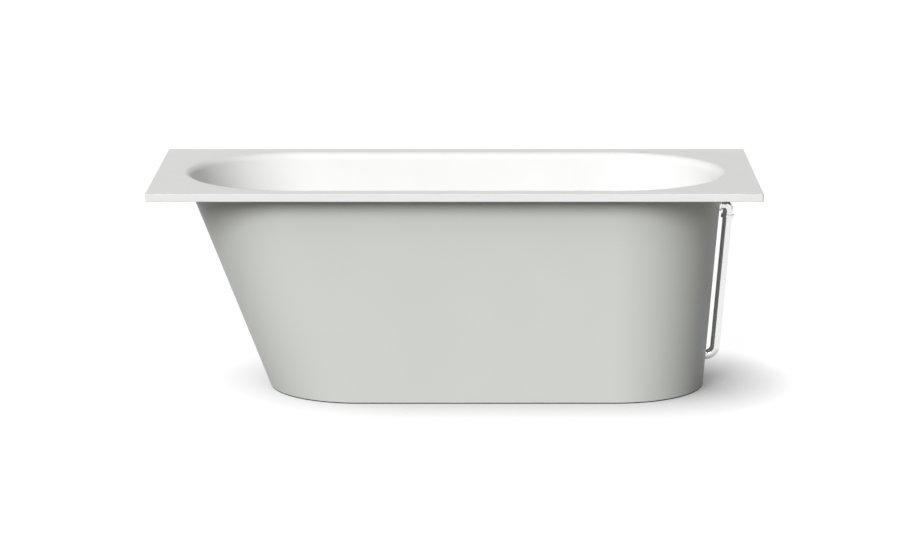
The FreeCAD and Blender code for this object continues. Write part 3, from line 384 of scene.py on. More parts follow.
def tub_shell():
    """Closed skin of loops: up the lip, over the rim, round the edge, down the wall, across the floor and
    through the waste's hole, then back below the same way."""
    lip_z, under_z, soft = HEIGHT - RIM_EDGE, HEIGHT - SHELL_SKIN, RIM_SOFTENING
    lip = [(SHELL_SKIN, under_z), (SHELL_SKIN, lip_z), *quarter((soft, lip_z), (0, lip_z + soft), (0, lip_z)),
           *quarter((0, HEIGHT - soft), (soft, HEIGHT), (0, HEIGHT))]
    rim = np.array([rim_loop(inset, z) for inset, z in lip])
    edge = BASIN.rounding(HEIGHT, EDGE_RADIUS, 1, 24)
    bend = BASIN.rounding(BASIN_FLOOR_Z, FLOOR_RADIUS, -1, 28)[::-1]
    eighths = np.arange(1, 8) / 8
    wall = between(edge[-1], bend[0], eighths)
    slope = np.linspace(0, 1, 9)
    seat_z, hole, soft = BASIN_FLOOR_Z - DISH_DEPTH, WASTE_HOLE, WASTE_HOLE_SOFTENING
    dish_z = BASIN_FLOOR_Z - DISH_DEPTH * (0.5 - 0.5 * np.cos(np.pi * slope))
    drain = waste_loops(bend[-1], [*zip(DISH_RADIUS - DISH_SLOPE * slope, dish_z),
                                   *quarter((hole + soft, seat_z), (hole, seat_z - soft), (hole, seat_z))])
    floor = between(bend[-1], drain[0], (0.35, 0.7, 0.9))
    shown = [rim, edge, wall, bend, floor, drain]

    back_bend = BASIN.rounding(BASIN_BOTTOM_Z, FLOOR_RADIUS + SHELL_SKIN, -1, 14, SHELL_SKIN)
    back_edge = BASIN.rounding(under_z, EDGE_RADIUS - SHELL_SKIN, 1, 10, SHELL_SKIN)[::-1]
    back_drain = waste_loops(back_bend[0], [(hole, BASIN_BOTTOM_Z)])
    back_floor = between(back_drain[0], back_bend[0], (0.3, 0.65))
    back_wall = between(back_bend[-1], back_edge[0], eighths)
    hidden = [back_drain, back_floor, back_bend, back_wall, back_edge]

    ring_slots = [0] * sum(map(len, shown)) + [1] * sum(map(len, hidden))
    mesh = ring_mesh("bath_shell", np.concatenate(shown + hidden))
    mesh = closed_form(in_rings(mesh, (WHITE_ACRYLIC, FIBRE_BACKING), ring_slots))
    return drill_foot_end(mesh, BASIN, OVERFLOW_HOLE, OVERFLOW_Z)


add_piece(tub_shell(), [], "tub", "tub_shell")


# ----------------------------------------
# Rim frame: ring of sealed plywood glued under the rim. It stiffens the rim and takes the skirt's screws.

FRAME_THICKNESS = 10.0
FRAME_INSET = 7.0                   # from the rim's outline
FRAME_GAP = 2.0                     # from the opening's outline
PLY = 1.4                           # thickness of a veneer
OPENING = OvalWall(-OPENING_LENGTH / 2, OPENING_LENGTH / 2, OPENING_WIDTH / 2, HEIGHT, (0.0, 0.0, 0.0))


def ply_face():
    """Sealed birch veneer: long grain with darker pores."""
    material, tree, shader, at = start_material("plywood face")
    grain = cloudy(tree, at, (5.0, 6.0), (1.0, 18.0, 18.0))
    pores = cloudy(tree, at, (16.0, 4.0), (2.0, 60.0, 60.0))
    wood = two_colours(tree, spread(tree, grain, 0.0, 1.0), (0.47, 0.33, 0.19), (0.62, 0.47, 0.30))
    colour = two_colours(tree, spread(tree, pores, 0.0, 0.6, 0.58, 0.75), wood, (0.30, 0.19, 0.10))
    dress(tree, shader, colour, spread(tree, grain, 0.45, 0.6), pores, 0.0003, 0.4)
    return material


def ply_edge():
    """Cut edge: veneers by turns light and dark, with a fine broken grain. A wave's bands are pi over ten
    times its scale apart, and a band is two veneers."""
    material, tree, shader, at = start_material("plywood edge")
    scale = math.pi / (20 * PLY / 1000)
    veneers = add_node(tree, "TexWave", {"Vector": at, "Scale": scale}, bands_direction="Z").outputs["Fac"]
    share = spread(tree, veneers, 0.0, 1.0, 0.35, 0.65)
    bands = two_colours(tree, share, (0.38, 0.25, 0.14), (0.62, 0.47, 0.31))
    broken = cloudy(tree, at, (260.0, 4.0), (1.0, 1.0, 4.0))
    colour = two_colours(tree, spread(tree, broken, 0.0, 0.5), bands, (0.24, 0.15, 0.08))
    dress(tree, shader, colour, spread(tree, broken, 0.55, 0.75), veneers, 0.0002, 0.5)
    return material


PLY_FACE = ply_face()
BOARD_FINISHES = (PLY_FACE, ply_edge())
BOARD_SLOTS = (1, 0, 1, 0)          # outer edge, top, inner edge, underside


def rim_frame():
    """Closed skin of loops: up the outer edge, over the top, down the opening's edge and back below."""
    top = HEIGHT - SHELL_SKIN
    low = top - FRAME_THICKNESS
    loops = [rim_loop(FRAME_INSET, low), rim_loop(FRAME_INSET, top), OPENING.loop(top, FRAME_GAP),
             OPENING.loop(low, FRAME_GAP)]
    return in_rings(ring_mesh("rim_frame_board", loops), BOARD_FINISHES, BOARD_SLOTS)


add_piece(rim_frame(), [], "tub", "rim_frame")


# ----------------------------------------
# Skirt: a separate moulding with a grey-green satin face, leaning in towards the floor, with its raw
# fibre backing inside. Its top flange is screwed up into the rim frame.

LIP_Z = 598.0
SKIRT_LEANS = (21.3, 4.6, 4.8)      # degrees from upright: head, foot, sides
SKIRT = OvalWall(-765.0, 761.0, 312.0, LIP_Z, SKIRT_LEANS)
SKIRT_WALL = 4.0
SKIRT_FOOT_Z = 3.0
SKIRT_TOP_Z = 605.0
FLANGE = OvalWall(-792.0, 792.0, 345.0, LIP_Z, (0.0, 0.0, 0.0))
SKIRT_SOFTENING = 0.8
PIPE_ENTRY_Z = 83.0
GROMMET_RADIUS = 16.3

# Satin grey-green with the fine peel of a sprayed face.
SAGE_SKIN = coat("sage skin", (0.626, 0.642, 0.605), (0.642, 0.658, 0.621), drift=(3.0, 2.0),
                 rough=(0.38, 0.46), grain=(70.0, 3.0), bumps=((420.0, 2.0), 0.0002, 0.15),
                 ior=1.45, specular=0.15)


def skirt_panel():
    """Closed skin of loops: up the face, out under the flange and over it, and down inside."""
    low, top, soft = SKIRT_FOOT_Z, SKIRT_TOP_Z, SKIRT_SOFTENING
    flange_z = top - SKIRT_WALL
    foot = [SKIRT.loop(z, -inset) for inset, z in quarter((soft, low), (0, low + soft), (0, low), 3)]
    face = between(foot[-1], SKIRT.loop(flange_z), np.arange(1, 13) / 12)
    flange = [FLANGE.loop(z, -inset) for inset, z in
              [*quarter((soft, flange_z), (0, flange_z + soft), (0, flange_z), 2),
               *quarter((0, top - soft), (soft, top), (0, top), 2)]]
    inside = between(SKIRT.loop(top, -SKIRT_WALL), SKIRT.loop(low, -SKIRT_WALL), np.arange(0, 13) / 12)
    mesh = ring_mesh("skirt_shell", np.concatenate([foot, face, flange, inside]))
    ring_slots = [0] * (len(foot) + len(face) - 1) + [1] * (len(flange) + len(inside)) + [0]
    mesh = closed_form(in_rings(mesh, (SAGE_SKIN, FIBRE_BACKING), ring_slots))
    mesh = drill_foot_end(mesh, SKIRT, OVERFLOW_HOLE, OVERFLOW_Z)
    return drill_foot_end(mesh, SKIRT, GROMMET_RADIUS, PIPE_ENTRY_Z)


add_piece(skirt_panel(), [], "tub", "skirt_panel")


# ----------------------------------------
# Skirt screws: zinc-plated pan heads with a cross recess, up through the skirt's flange into the frame.
# There are six pairs along the sides and three round each end.

PAN_RADIUS = 4.5
PAN_HEIGHT = 2.2
SCREW_RADIUS = 2.0
SCREW_THREAD = 0.45                 # depth
SCREW_PITCH = 1.4
SCREW_STEPS = 24                    # points round a screw
SCREW_GRIP = 8.0                    # length in the wood
SIDE_SCREWS = 6
END_SCREWS = 3
THREAD_RINGS = 4                    # in a turn of any thread

# From the middle of the recess out over the dome to the shank: radius, how much further the recess's four
# wings reach, and height.
PAN_HEAD = ((0.2, 0.0, 1.3), (0.45, 0.8, 1.1), (0.6, 1.5, 0.05), (2.5, 0.0, 0.0), (3.5, 0.0, 0.2),
            (4.1, 0.0, 0.6), (4.4, 0.0, 1.2), (PAN_RADIUS, 0.0, 1.8), (4.4, 0.0, PAN_HEIGHT),
            (SCREW_RADIUS, 0.0, PAN_HEIGHT))


def plain_finish(name, dark, light, roughness, metallic=0.0, scale=60.0):
    """Finish whose colour, roughness and faint relief all follow one fine grain."""
    grain = (scale, 4.0)
    return coat(name, dark, light, grain, (roughness - 0.05, roughness + 0.05), bumps=(grain, 0.0002, 0.2),
                metallic=metallic)


ZINC_STEEL = plain_finish("zinc steel", (0.55, 0.56, 0.58), (0.68, 0.69, 0.70), 0.32, 1.0)


def join(name, meshes):
    """One mesh that holds all of these."""
    form = bmesh.new()
    for mesh in meshes:
        form.from_mesh(mesh)
        bpy.data.meshes.remove(mesh)
    joined = bpy.data.meshes.new(name)
    form.to_mesh(joined)
    form.free()
    return joined


def thread_rings(x, y, radius, depth, pitch, low, high, around):
    """Rings of an upright threaded rod. The radius falls by depth in a saw of height / pitch less the angle
    in turns, and is least at both ends."""
    turn = np.arange(around) / around
    z = np.linspace(low, high, int((high - low) / pitch * THREAD_RINGS) + 1)[:, None]
    saw = np.abs(2 * ((z / pitch - turn) % 1) - 1)
    inside = np.clip(np.minimum(z - low, high - z) / pitch, 0, 1)
    r = radius - depth * (1 - (1 - saw) * inside)
    return xyz(x + r * np.cos(2 * np.pi * turn), y + r * np.sin(2 * np.pi * turn), z)


def pan_screw(x, y, z, length):
    """Screw that points up from z: the cross recess, the domed head, and the threaded shank. The recess is a
    circle whose radius grows with the cosine of four times the angle."""
    turn = full_turn(SCREW_STEPS)
    radius, wing, height = np.array(PAN_HEAD).T[:, :, None]
    r = radius + wing * np.clip(np.cos(4 * turn), 0, 1)
    head = xyz(x + r * np.cos(turn), y + r * np.sin(turn), z + height)
    neck = z + PAN_HEIGHT
    shank = thread_rings(x, y, SCREW_RADIUS, SCREW_THREAD, SCREW_PITCH, neck + 0.1, neck + length,
                         SCREW_STEPS)
    return ring_mesh("screw", np.concatenate([head, shank[::2]]), wrap=False)


def screws_up_to(name, z, wall, places):
    """Pan screws whose heads are under a wall that has its upper face at z."""
    return join(name, [pan_screw(x, y, z - wall - PAN_HEIGHT, wall + SCREW_GRIP) for x, y in places])


def skirt_screw_places():
    """Along the middle of the band where the flange lies under the frame."""
    line = (FRAME_GAP + FLANGE.foot - OPENING.foot) / 2
    middle, radius = OPENING.foot - OPENING.radius, OPENING.radius + line
    places = [(x, side * radius) for x in np.linspace(-middle, middle, SIDE_SCREWS) for side in (-1, 1)]
    for i in range(END_SCREWS):
        turn = math.pi * (i + 1) / (END_SCREWS + 1) - math.pi / 2
        places += [(side * (middle + radius * math.cos(turn)), radius * math.sin(turn)) for side in (-1, 1)]
    return places


add_piece(screws_up_to("skirt_pan_screws", SKIRT_TOP_Z, SKIRT_WALL, skirt_screw_places()), [ZINC_STEEL],
          "tub", "skirt_screws")


# ----------------------------------------
# Strip under the skirt: black rubber, 7 mm wide and 3 mm high, pushed along the skirt's lower edge so
# that it doesn't stand on the floor hard.

STRIP_WIDTH = 7.0
STRIP_SOFTENING = 0.7

# Dull black with a dusty bloom.
BLACK_RUBBER = coat("black rubber", (0.022, 0.022, 0.023), (0.040, 0.040, 0.041), drift=(55.0, 4.0),
                    rough=(0.7, 0.85), bumps=((900.0, 2.0), 0.0001, 0.3))


def skirt_strip():
    """Rounded rectangle carried round the skirt's lowest loop."""
    outset = -(STRIP_WIDTH - SKIRT_WALL) / 2
    width, top, soft = STRIP_WIDTH, SKIRT_FOOT_Z, STRIP_SOFTENING
    section = [*quarter((soft, 0), (0, soft), (0, 0), 2), *quarter((0, top - soft), (soft, top), (0, top), 2),
               *quarter((width - soft, top), (width, top - soft), (width, top), 2),
               *quarter((width, soft), (width - soft, 0), (width, 0), 2)]
    base = SKIRT.loop(SKIRT_FOOT_Z)
    return ring_mesh("skirt_strip", [base + OUTWARD * (outset - inset) + UPWARD * (z - SKIRT_FOOT_Z)
                                     for inset, z in section])


add_piece(skirt_strip(), [BLACK_RUBBER], "tub", "skirt_seal")


# ----------------------------------------
# Base board: sealed plywood bonded under the basin's floor, with a round hole for the waste and a blind
# one over the middle foot.

BOARD_Z = 157.0
BOARD_INSET = 10.0                  # inside the flat of the basin's floor
BOARD_HOLE = 48.0
BOARD_BLIND = 12.0
BOARD_SKIN = 3.0
HEAD_RAIL_X = -250.0
FOOT_RAIL_X = 420.0
MIDDLE_FOOT_X = (HEAD_RAIL_X + FOOT_RAIL_X) / 2
FLAT = BASIN.rounding(BASIN_FLOOR_Z, FLOOR_RADIUS, -1, 1)[0]


def base_board():
    """Closed skin of loops: up the outer edge, over the top to the hole, down it and back below."""
    low = xyz(FLAT[:, 0] - BOARD_INSET * out_x, FLAT[:, 1] - BOARD_INSET * out_y, BOARD_Z)
    top = low + (BASIN_BOTTOM_Z - BOARD_Z) * UPWARD
    hole = waste_loops(low, [(BOARD_HOLE, BASIN_BOTTOM_Z), (BOARD_HOLE, BOARD_Z)])
    mesh = in_rings(ring_mesh("basin_base_board", [low, top, *hole]), BOARD_FINISHES, BOARD_SLOTS)
    return drill(closed_form(mesh), BOARD_BLIND, (MIDDLE_FOOT_X, 0, BOARD_Z - 10),
                 (MIDDLE_FOOT_X, 0, BASIN_BOTTOM_Z - BOARD_SKIN))


add_piece(base_board(), [], "tub", "base_board")


# ----------------------------------------
# Cradle rails: two channels folded from 2 mm steel, powder coated, across the bath under the base board,
# each held up by four pan head screws. Rubber packers fill the gaps from their ends to the skirt.

RAIL_Z = 132.0
RAIL_HALF = 20.0
RAIL_WALL = 2.0
RAIL_BEND = 3.0                     # outer radius of the folds
RAIL_SOFTENING = 0.4
PACKER_LENGTH = 28.0
RAIL_REACH = SKIRT.radius + (RAIL_Z - SKIRT.z) * SKIRT.side_slope - SKIRT_WALL - PACKER_LENGTH
RAIL_SCREW_INSET = 35.0             # from the flat of the basin's floor
RAIL_SCREW_REACH = float(FLAT[:, 1].max()) - RAIL_SCREW_INSET

# Dark grey with its orange peel.
POWDER_COAT = coat("powder coat", (0.075, 0.078, 0.082), (0.10, 0.103, 0.107), drift=(12.0, 3.0),
                   rough=(0.42, 0.52), grain=(650.0, 2.0), bumps=((650.0, 2.0), 0.0004, 0.5))


def cradle_rail(name, x):
    """Outline of the folded channel, open downward, carried from end to end."""
    half, wall, bend, low, top, soft = RAIL_HALF, RAIL_WALL, RAIL_BEND, RAIL_Z, BOARD_Z, RAIL_SOFTENING
    outer = np.array([(wall - soft - half, low), (soft - half, low), (-half, low + soft),
                      *quarter((-half, top - bend), (bend - half, top), (-half, top), 6)])
    side, roof = wall - half, top - wall
    inner = np.array([(side, low + soft), *quarter((side, top - bend), (bend - half, roof), (side, roof))])
    section = np.concatenate([outer, outer[::-1] * (-1, 1), inner * (-1, 1), inner[::-1]])
    rings = [xyz(x + section[:, 0], y, section[:, 1]) for y in np.linspace(-RAIL_REACH, RAIL_REACH, 9)]
    return ring_mesh(name, rings, wrap=False)


for place, x in (("head", HEAD_RAIL_X), ("foot", FOOT_RAIL_X)):
    add_piece(cradle_rail("folded_rail_" + place, x), [POWDER_COAT],
              "tub", "cradle_rail_" + place)
add_piece(screws_up_to("rail_pan_screws", BOARD_Z, RAIL_WALL,
                       [(x, share * RAIL_SCREW_REACH) for x in (HEAD_RAIL_X, FOOT_RAIL_X)
                        for share in (-1, -1 / 3, 1 / 3, 1)]),
          [ZINC_STEEL], "tub", "rail_screws")


# ----------------------------------------
# Feet: five M12 studs with a collar, each on a ribbed plastic pad. Two nuts clamp each of the outer four to
# its rail, and one under a screwed plate carries the middle of the base board.

FOOT_SPREAD = 205.0
STUD_RADIUS = 6.0
STUD_PITCH = 1.75
STUD_THREAD = 0.75                  # depth
STUD_STEPS = 20                     # points round a stud
STUD_FOOT_Z = 6.0
STUD_TOP_Z = 167.0
MIDDLE_STUD_TOP_Z = 160.0
COLLAR_RADIUS = 9.6
COLLAR_HEIGHT = 3.0
PAD_RADIUS = 25.0
PAD_HEIGHT = 14.0
PAD_CHAMFER = 4.0
PAD_RECESS = 0.9                    # between the rings underneath
PAD_TREADS = (5.0, 9.0, 13.0, 17.0)
HEX_FLATS = 19.0
HEX_HEIGHT = 10.0
THREAD_GAP = 0.05                   # of a nut round its thread
PLATE_HALF = 40.0
PLATE_WALL = 3.0
PLATE_CORNER = 8.0
PLATE_SCREW = 28.0                  # from the middle of the plate, along both sides
FEET = {"head_front": (HEAD_RAIL_X, -FOOT_SPREAD), "head_back": (HEAD_RAIL_X, FOOT_SPREAD),
        "foot_front": (FOOT_RAIL_X, -FOOT_SPREAD), "foot_back": (FOOT_RAIL_X, FOOT_SPREAD),
        "middle": (MIDDLE_FOOT_X, 0.0)}

PAD_PLASTIC = plain_finish("pad plastic", (0.03, 0.03, 0.031), (0.05, 0.05, 0.051), 0.5, scale=300.0)


def turned(name, profile, origin, axis=(0, 0, 1), around=96, hollow=True, ribs=0, groove=0.0):
    """Profile of (radius, distance along the axis) pairs turned about an axis through origin, closed on
    itself if hollow. Its widest part is cut back by up to groove, in a wave with this many ribs."""
    axis = np.array(axis, float) / np.linalg.norm(axis)
    sideways = np.cross(axis, (0.0, 1.0, 0.0))
    sideways /= np.linalg.norm(sideways)
    across = np.cross(axis, sideways)
    turn = full_turn(around)
    radius, along = np.array(profile, float).T
    widest = (radius > radius.max() - 1e-6)[:, None]
    radius = radius[:, None] - groove * widest * np.clip(0.5 + 0.9 * np.cos(ribs * turn), 0, 1)
    circle = np.cos(turn)[:, None] * sideways + np.sin(turn)[:, None] * across
    return ring_mesh(name, np.array(origin, float) + along[:, None, None] * axis
                     + radius[:, :, None] * circle, hollow)


def foot_stud(name, x, y, top):
    """Threaded rod, and a collar that stands on the pad."""
    rod = thread_rings(x, y, STUD_RADIUS, STUD_THREAD, STUD_PITCH, STUD_FOOT_Z, top, STUD_STEPS)
    inner, outer, high = STUD_RADIUS - STUD_THREAD - 0.5, COLLAR_RADIUS, COLLAR_HEIGHT
    collar = turned("collar", [(inner, 0), (outer - 0.4, 0), (outer, 0.4), (outer, high - 0.6),
                               (outer - 0.6, high), (inner, high)], (x, y, PAD_HEIGHT), around=48)
    return join(name, [ring_mesh("rod", rod, wrap=False), collar])


def foot_pad(name, x, y):
    """Pad with rings moulded underneath for grip, ribs round its side, and a socket for the stud."""
    edge, high, socket, recess = PAD_RADIUS, PAD_HEIGHT, STUD_RADIUS, PAD_RECESS
    flat, shoulder = edge - PAD_CHAMFER, high - PAD_CHAMFER
    treads = [(radius + step, depth) for radius in PAD_TREADS
              for step, depth in ((0.0, recess), (0.5, 0.0), (2.0, 0.0), (2.5, recess))]
    profile = [(0.5, recess), *treads, (20.5, recess), (21.0, 0.0),
               *quarter((edge - 1, 0), (edge, 1), (edge, 0)), (edge, shoulder - 0.4), (edge - 0.3, shoulder),
               *quarter((flat, high - 0.3), (flat - 0.8, high), (flat - 0.2, high), 2), (socket + 0.5, high),
               (socket, high - 0.5), (socket, STUD_FOOT_Z), (0.5, STUD_FOOT_Z)]
    return turned(name, profile, (x, y, 0), around=144, hollow=False, ribs=24, groove=0.7)


def hex_nut(name, flats, bore, x, y, low, height):
    """Nut whose corners a cone cuts back at both ends: the radius is the lesser of the hexagon's and the
    cone's."""
    turn = full_turn(72)
    hexagon = flats / 2 / np.cos(turn % (np.pi / 3) - np.pi / 6)
    depth = np.array([0.0, 0.02, 0.045, 0.07, 0.1]) * flats
    outline = np.minimum(hexagon, (0.47 * flats + depth * math.sqrt(3))[:, None])
    hole = np.array([bore + 0.6, bore, bore, bore + 0.6])[:, None] + 0 * turn
    r = np.concatenate([outline, outline[::-1], hole])
    z = np.array([*depth, *(height - depth[::-1]), height, height - 0.6, 0.6, 0.0])[:, None]
    return ring_mesh(name, xyz(x + r * np.cos(turn), y + r * np.sin(turn), low + z))


def foot_nuts():
    """One on each side of the rail at each outer foot, and one under the middle plate."""
    places = [(x, y, low) for x in (HEAD_RAIL_X, FOOT_RAIL_X) for y in (-FOOT_SPREAD, FOOT_SPREAD)
              for low in (BOARD_Z, BOARD_Z - RAIL_WALL - HEX_HEIGHT)]
    places.append((MIDDLE_FOOT_X, 0.0, BOARD_Z - PLATE_WALL - HEX_HEIGHT))
    return join("foot_hex_nuts", [hex_nut("nut", HEX_FLATS, STUD_RADIUS + THREAD_GAP, *place, HEX_HEIGHT)
                                  for place in places])


def middle_plate():
    """Rounded square, its edges softened top and bottom, drilled for the stud."""
    turn = np.radians(np.arange(0, 360, 7.5) + 3.75)
    quadrant = np.stack([np.cos(turn), np.sin(turn)])
    corner = np.sign(quadrant) * (PLATE_HALF - PLATE_CORNER)
    rings = []
    for inset, z in ((0.4, 0), (0, 0.4), (0, PLATE_WALL - 0.4), (0.4, PLATE_WALL)):
        x, y = corner + (PLATE_CORNER - inset) * quadrant
        rings.append(xyz(MIDDLE_FOOT_X + x, y, BOARD_Z - PLATE_WALL + z))
    mesh = closed_form(ring_mesh("middle_foot_square", rings, wrap=False))
    return drill(mesh, STUD_RADIUS + 0.4, (MIDDLE_FOOT_X, 0, BOARD_Z - 20), (MIDDLE_FOOT_X, 0, BOARD_Z + 20))


for place, (x, y) in FEET.items():
    stud_top = MIDDLE_STUD_TOP_Z if place == "middle" else STUD_TOP_Z
    add_piece(foot_stud("threaded_stud_" + place, x, y, stud_top), [ZINC_STEEL],
              "foot_" + place, "foot_stud_" + place)
    add_piece(foot_pad("ribbed_pad_" + place, x, y), [PAD_PLASTIC],
              "foot_" + place, "foot_pad_" + place)
add_piece(foot_nuts(), [ZINC_STEEL], "tub", "foot_nuts")
add_piece(middle_plate(), [ZINC_STEEL], "tub", "middle_foot_plate")
add_piece(screws_up_to("plate_pan_screws", BOARD_Z, PLATE_WALL,
                       [(MIDDLE_FOOT_X + a, b) for a in (-PLATE_SCREW, PLATE_SCREW)
                        for b in (-PLATE_SCREW, PLATE_SCREW)]),
          [ZINC_STEEL], "tub", "plate_screws")


# ----------------------------------------
# Waste flange: chromed brass ring in the basin's dish, in one with a threaded tube down through the floor.
# A cross inside the tube carries the plug's cartridge. The brass back nut pulls it down onto its seals.

FLANGE_RADIUS = 35.0
FLANGE_Z = 176.5
FLANGE_TOP_Z = 179.0
FLANGE_ROUND = 0.83
SEAT_RADIUS = 31.0
SEAT_Z = 178.0
WASTE_TUBE = 23.0
WASTE_BORE = 20.0
WASTE_END_Z = 118.5
WASTE_PITCH = 2.0
WASTE_THREAD = 0.6                  # depth
CROSS_Z = 163.0
CROSS_HEIGHT = 4.0
CROSS_HALF = 2.5
HUB_RADIUS = 11.0
CARTRIDGE_RADIUS = 9.0
BACK_NUT_FLATS = 66.0
BACK_NUT_Z = 154.0
BACK_NUT_HEIGHT = 12.0

# Bright chrome plate with faint polishing streaks.
POLISHED_CHROME = coat("polished chrome", (0.78, 0.785, 0.79), (0.82, 0.82, 0.82), drift=(120.0, 3.0),
                       rough=(0.03, 0.06), metallic=1.0)
MACHINED_BRASS = plain_finish("machined brass", (0.62, 0.45, 0.17), (0.74, 0.56, 0.25), 0.28, 1.0, 200.0)


def cross_bar(angle):
    """Chamfered bar from the hub out into the tube's wall."""
    a, half, high = math.radians(angle), CROSS_HALF, CROSS_HEIGHT
    along, sideways = xyz(math.cos(a), math.sin(a), 0.0), xyz(-math.sin(a), math.cos(a), 0.0)
    section = [(-half, 0.5), (0.5 - half, 0), (half - 0.5, 0), (half, 0.5), (half, high), (-half, high)]
    return ring_mesh("bar", [[xyz(WASTE_X, 0, CROSS_Z + z) + along * r + sideways * w for w, z in section]
                             for r in (HUB_RADIUS - 0.5, (WASTE_BORE + WASTE_TUBE) / 2)], wrap=False)


def waste_flange():
    """The ring and its threaded tube, turned as one, and the hub with its four bars."""
    foot, top, edge, seat = (WASTE_X, 0, 0), FLANGE_TOP_Z, FLANGE_RADIUS, SEAT_RADIUS
    bore, outer, end, hub_top = WASTE_BORE, WASTE_TUBE, WASTE_END_Z, CROSS_Z + CROSS_HEIGHT
    profile = [(edge - 0.5, FLANGE_Z), (edge, FLANGE_Z + 0.3),
               *quarter((edge, top - FLANGE_ROUND), (edge - FLANGE_ROUND, top), (edge, top), 6),
               *quarter((seat + 0.3, top), (seat, top - 0.3), (seat, top), 3), (seat, SEAT_Z),
               *quarter((bore + 1.2, SEAT_Z), (bore, SEAT_Z - 1.2), (bore, SEAT_Z), 5), (bore, end + 0.6),
               (bore + 0.6, end), (outer - 0.8, end), (outer, end + 0.8), (outer, end + 24)]
    for z in np.arange(end + 25, FLANGE_Z - 6, WASTE_PITCH):
        profile += [(outer - WASTE_THREAD, z), (outer, z + WASTE_PITCH / 2)]
    body = turned("body", profile + [(outer, FLANGE_Z)], foot, around=128)
    hub = turned("hub", [(CARTRIDGE_RADIUS, CROSS_Z), (HUB_RADIUS, CROSS_Z), (HUB_RADIUS, hub_top - 0.4),
                         (HUB_RADIUS - 0.4, hub_top), (CARTRIDGE_RADIUS, hub_top)], foot, around=64)
    return join("waste_ring", [body, hub, *(cross_bar(angle) for angle in (0, 90, 180, 270))])


add_piece(waste_flange(), [POLISHED_CHROME], "tub", "waste_flange")
add_piece(hex_nut("waste_hex_nut", BACK_NUT_FLATS, WASTE_TUBE + THREAD_GAP, WASTE_X, 0.0, BACK_NUT_Z,
                  BACK_NUT_HEIGHT), [MACHINED_BRASS], "tub", "waste_back_nut")


# ----------------------------------------
# Plug: chromed cap, slightly domed, that sinks onto the flange when it is pushed. Its stem and spring keep
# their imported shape.

PLUG_RADIUS = 30.0
PLUG_Z = 179.5
PLUG_TOP_Z = 182.5


def plug_cap():
    """Disc whose top falls with the square of the distance from the middle, then rounds over its edge."""
    low, top, edge = PLUG_Z, PLUG_TOP_Z, PLUG_RADIUS
    crown = [(share * 26.0 + 0.5, top - 0.35 * share ** 2) for share in np.linspace(0, 1, 9)]
    profile = [*crown, *quarter((27.6, top - 0.42), (edge, top - 1.7), (edge, top - 0.5), 8),
               (edge, low + 0.4), (edge - 0.4, low), (20.0, low), (19.5, low + 0.8), (0.5, low + 0.8)]
    return turned("plug_disc", profile, (WASTE_X, 0, 0), around=128, hollow=False)


add_piece(plug_cap(), [POLISHED_CHROME], "plug", "plug_cap")


# ----------------------------------------
# Fittings under the waste: a moulded tee with three ribbed slip nuts, which press grey rings onto the
# waste's tube, the overflow pipe and the tail. The tail goes down into a drain in the floor.

TEE_TOP_Z = 142.5
TEE_END_Z = 38.0
TEE_SOCKET = 29.0
TEE_RADIUS = 26.0
TEE_PORT = 18.0
TEE_PORT_REACH = 60.0
PIPE_RADIUS = 14.0
TAIL_RADIUS = 20.0
TAIL_WALL = 2.0
TAIL_LOW_Z = 2.0
TAIL_HIGH_Z = 59.7
TAIL_COLLAR = 23.0
TAIL_COLLAR_Z = 25.0
TAIL_COLLAR_HEIGHT = 4.0
GRIP = 8.0                          # of a slip nut over its thread
LIP = 4.0                           # of a slip nut over its ring, and the ring's height
NUT_WALL = 5.0
LOOSE = 0.4                         # of a slip nut or the grommet round its tube

# White moulded plastic, satin, a little uneven where it cooled.
MOULDED_PLASTIC = coat("moulded plastic", (0.74, 0.74, 0.72), (0.81, 0.81, 0.79), drift=(22.0, 3.0),
                       rough=(0.34, 0.46), grain=(500.0, 2.0), bumps=((22.0, 3.0), 0.0005, 0.4), ior=1.49)


def slip_nut(name, thread, passing, start, axis):
    """Nut that grips a thread from start, then holds a ring, then closes in on the tube with its lip."""
    outer, height = thread + NUT_WALL, GRIP + 2 * LIP
    side, hole, bore = outer - 1.0, passing + LOOSE, thread + THREAD_GAP
    profile = [(bore, 0), *quarter((outer - 2.0, 0), (side, 1.0), (side, 0), 3), (outer, 1.6),
               (outer, height - 4.0), (side, height - 3.2),
               *quarter((side, height - 1.5), (outer - 2.5, height), (side, height), 4),
               *quarter((hole + 0.6, height), (hole, height - 0.6), (hole, height), 3),
               (hole, height - LIP), (bore, height - LIP)]
    return turned(name, profile, start, axis, 192, ribs=24, groove=0.9)


def waste_tail():
    """Tube with a chamfered end for the drain and a collar that stops on it."""
    inner, outer, low, high = TAIL_RADIUS - TAIL_WALL, TAIL_RADIUS, TAIL_LOW_Z, TAIL_HIGH_Z
    collar, stop, over = TAIL_COLLAR, TAIL_COLLAR_Z, TAIL_COLLAR_Z + TAIL_COLLAR_HEIGHT
    profile = [(inner, low + 0.5), (inner + 0.5, low), (outer - 1.0, low), (outer, low + 2.5), (outer, stop),
               (collar - 0.5, stop), (collar, stop + 0.5), (collar, over - 0.5), (collar - 0.5, over),
               (outer, over), (outer, high - 0.5), (outer - 0.5, high), (inner, high)]
    return turned("waste_tail_tube", profile, (WASTE_X, 0, 0))


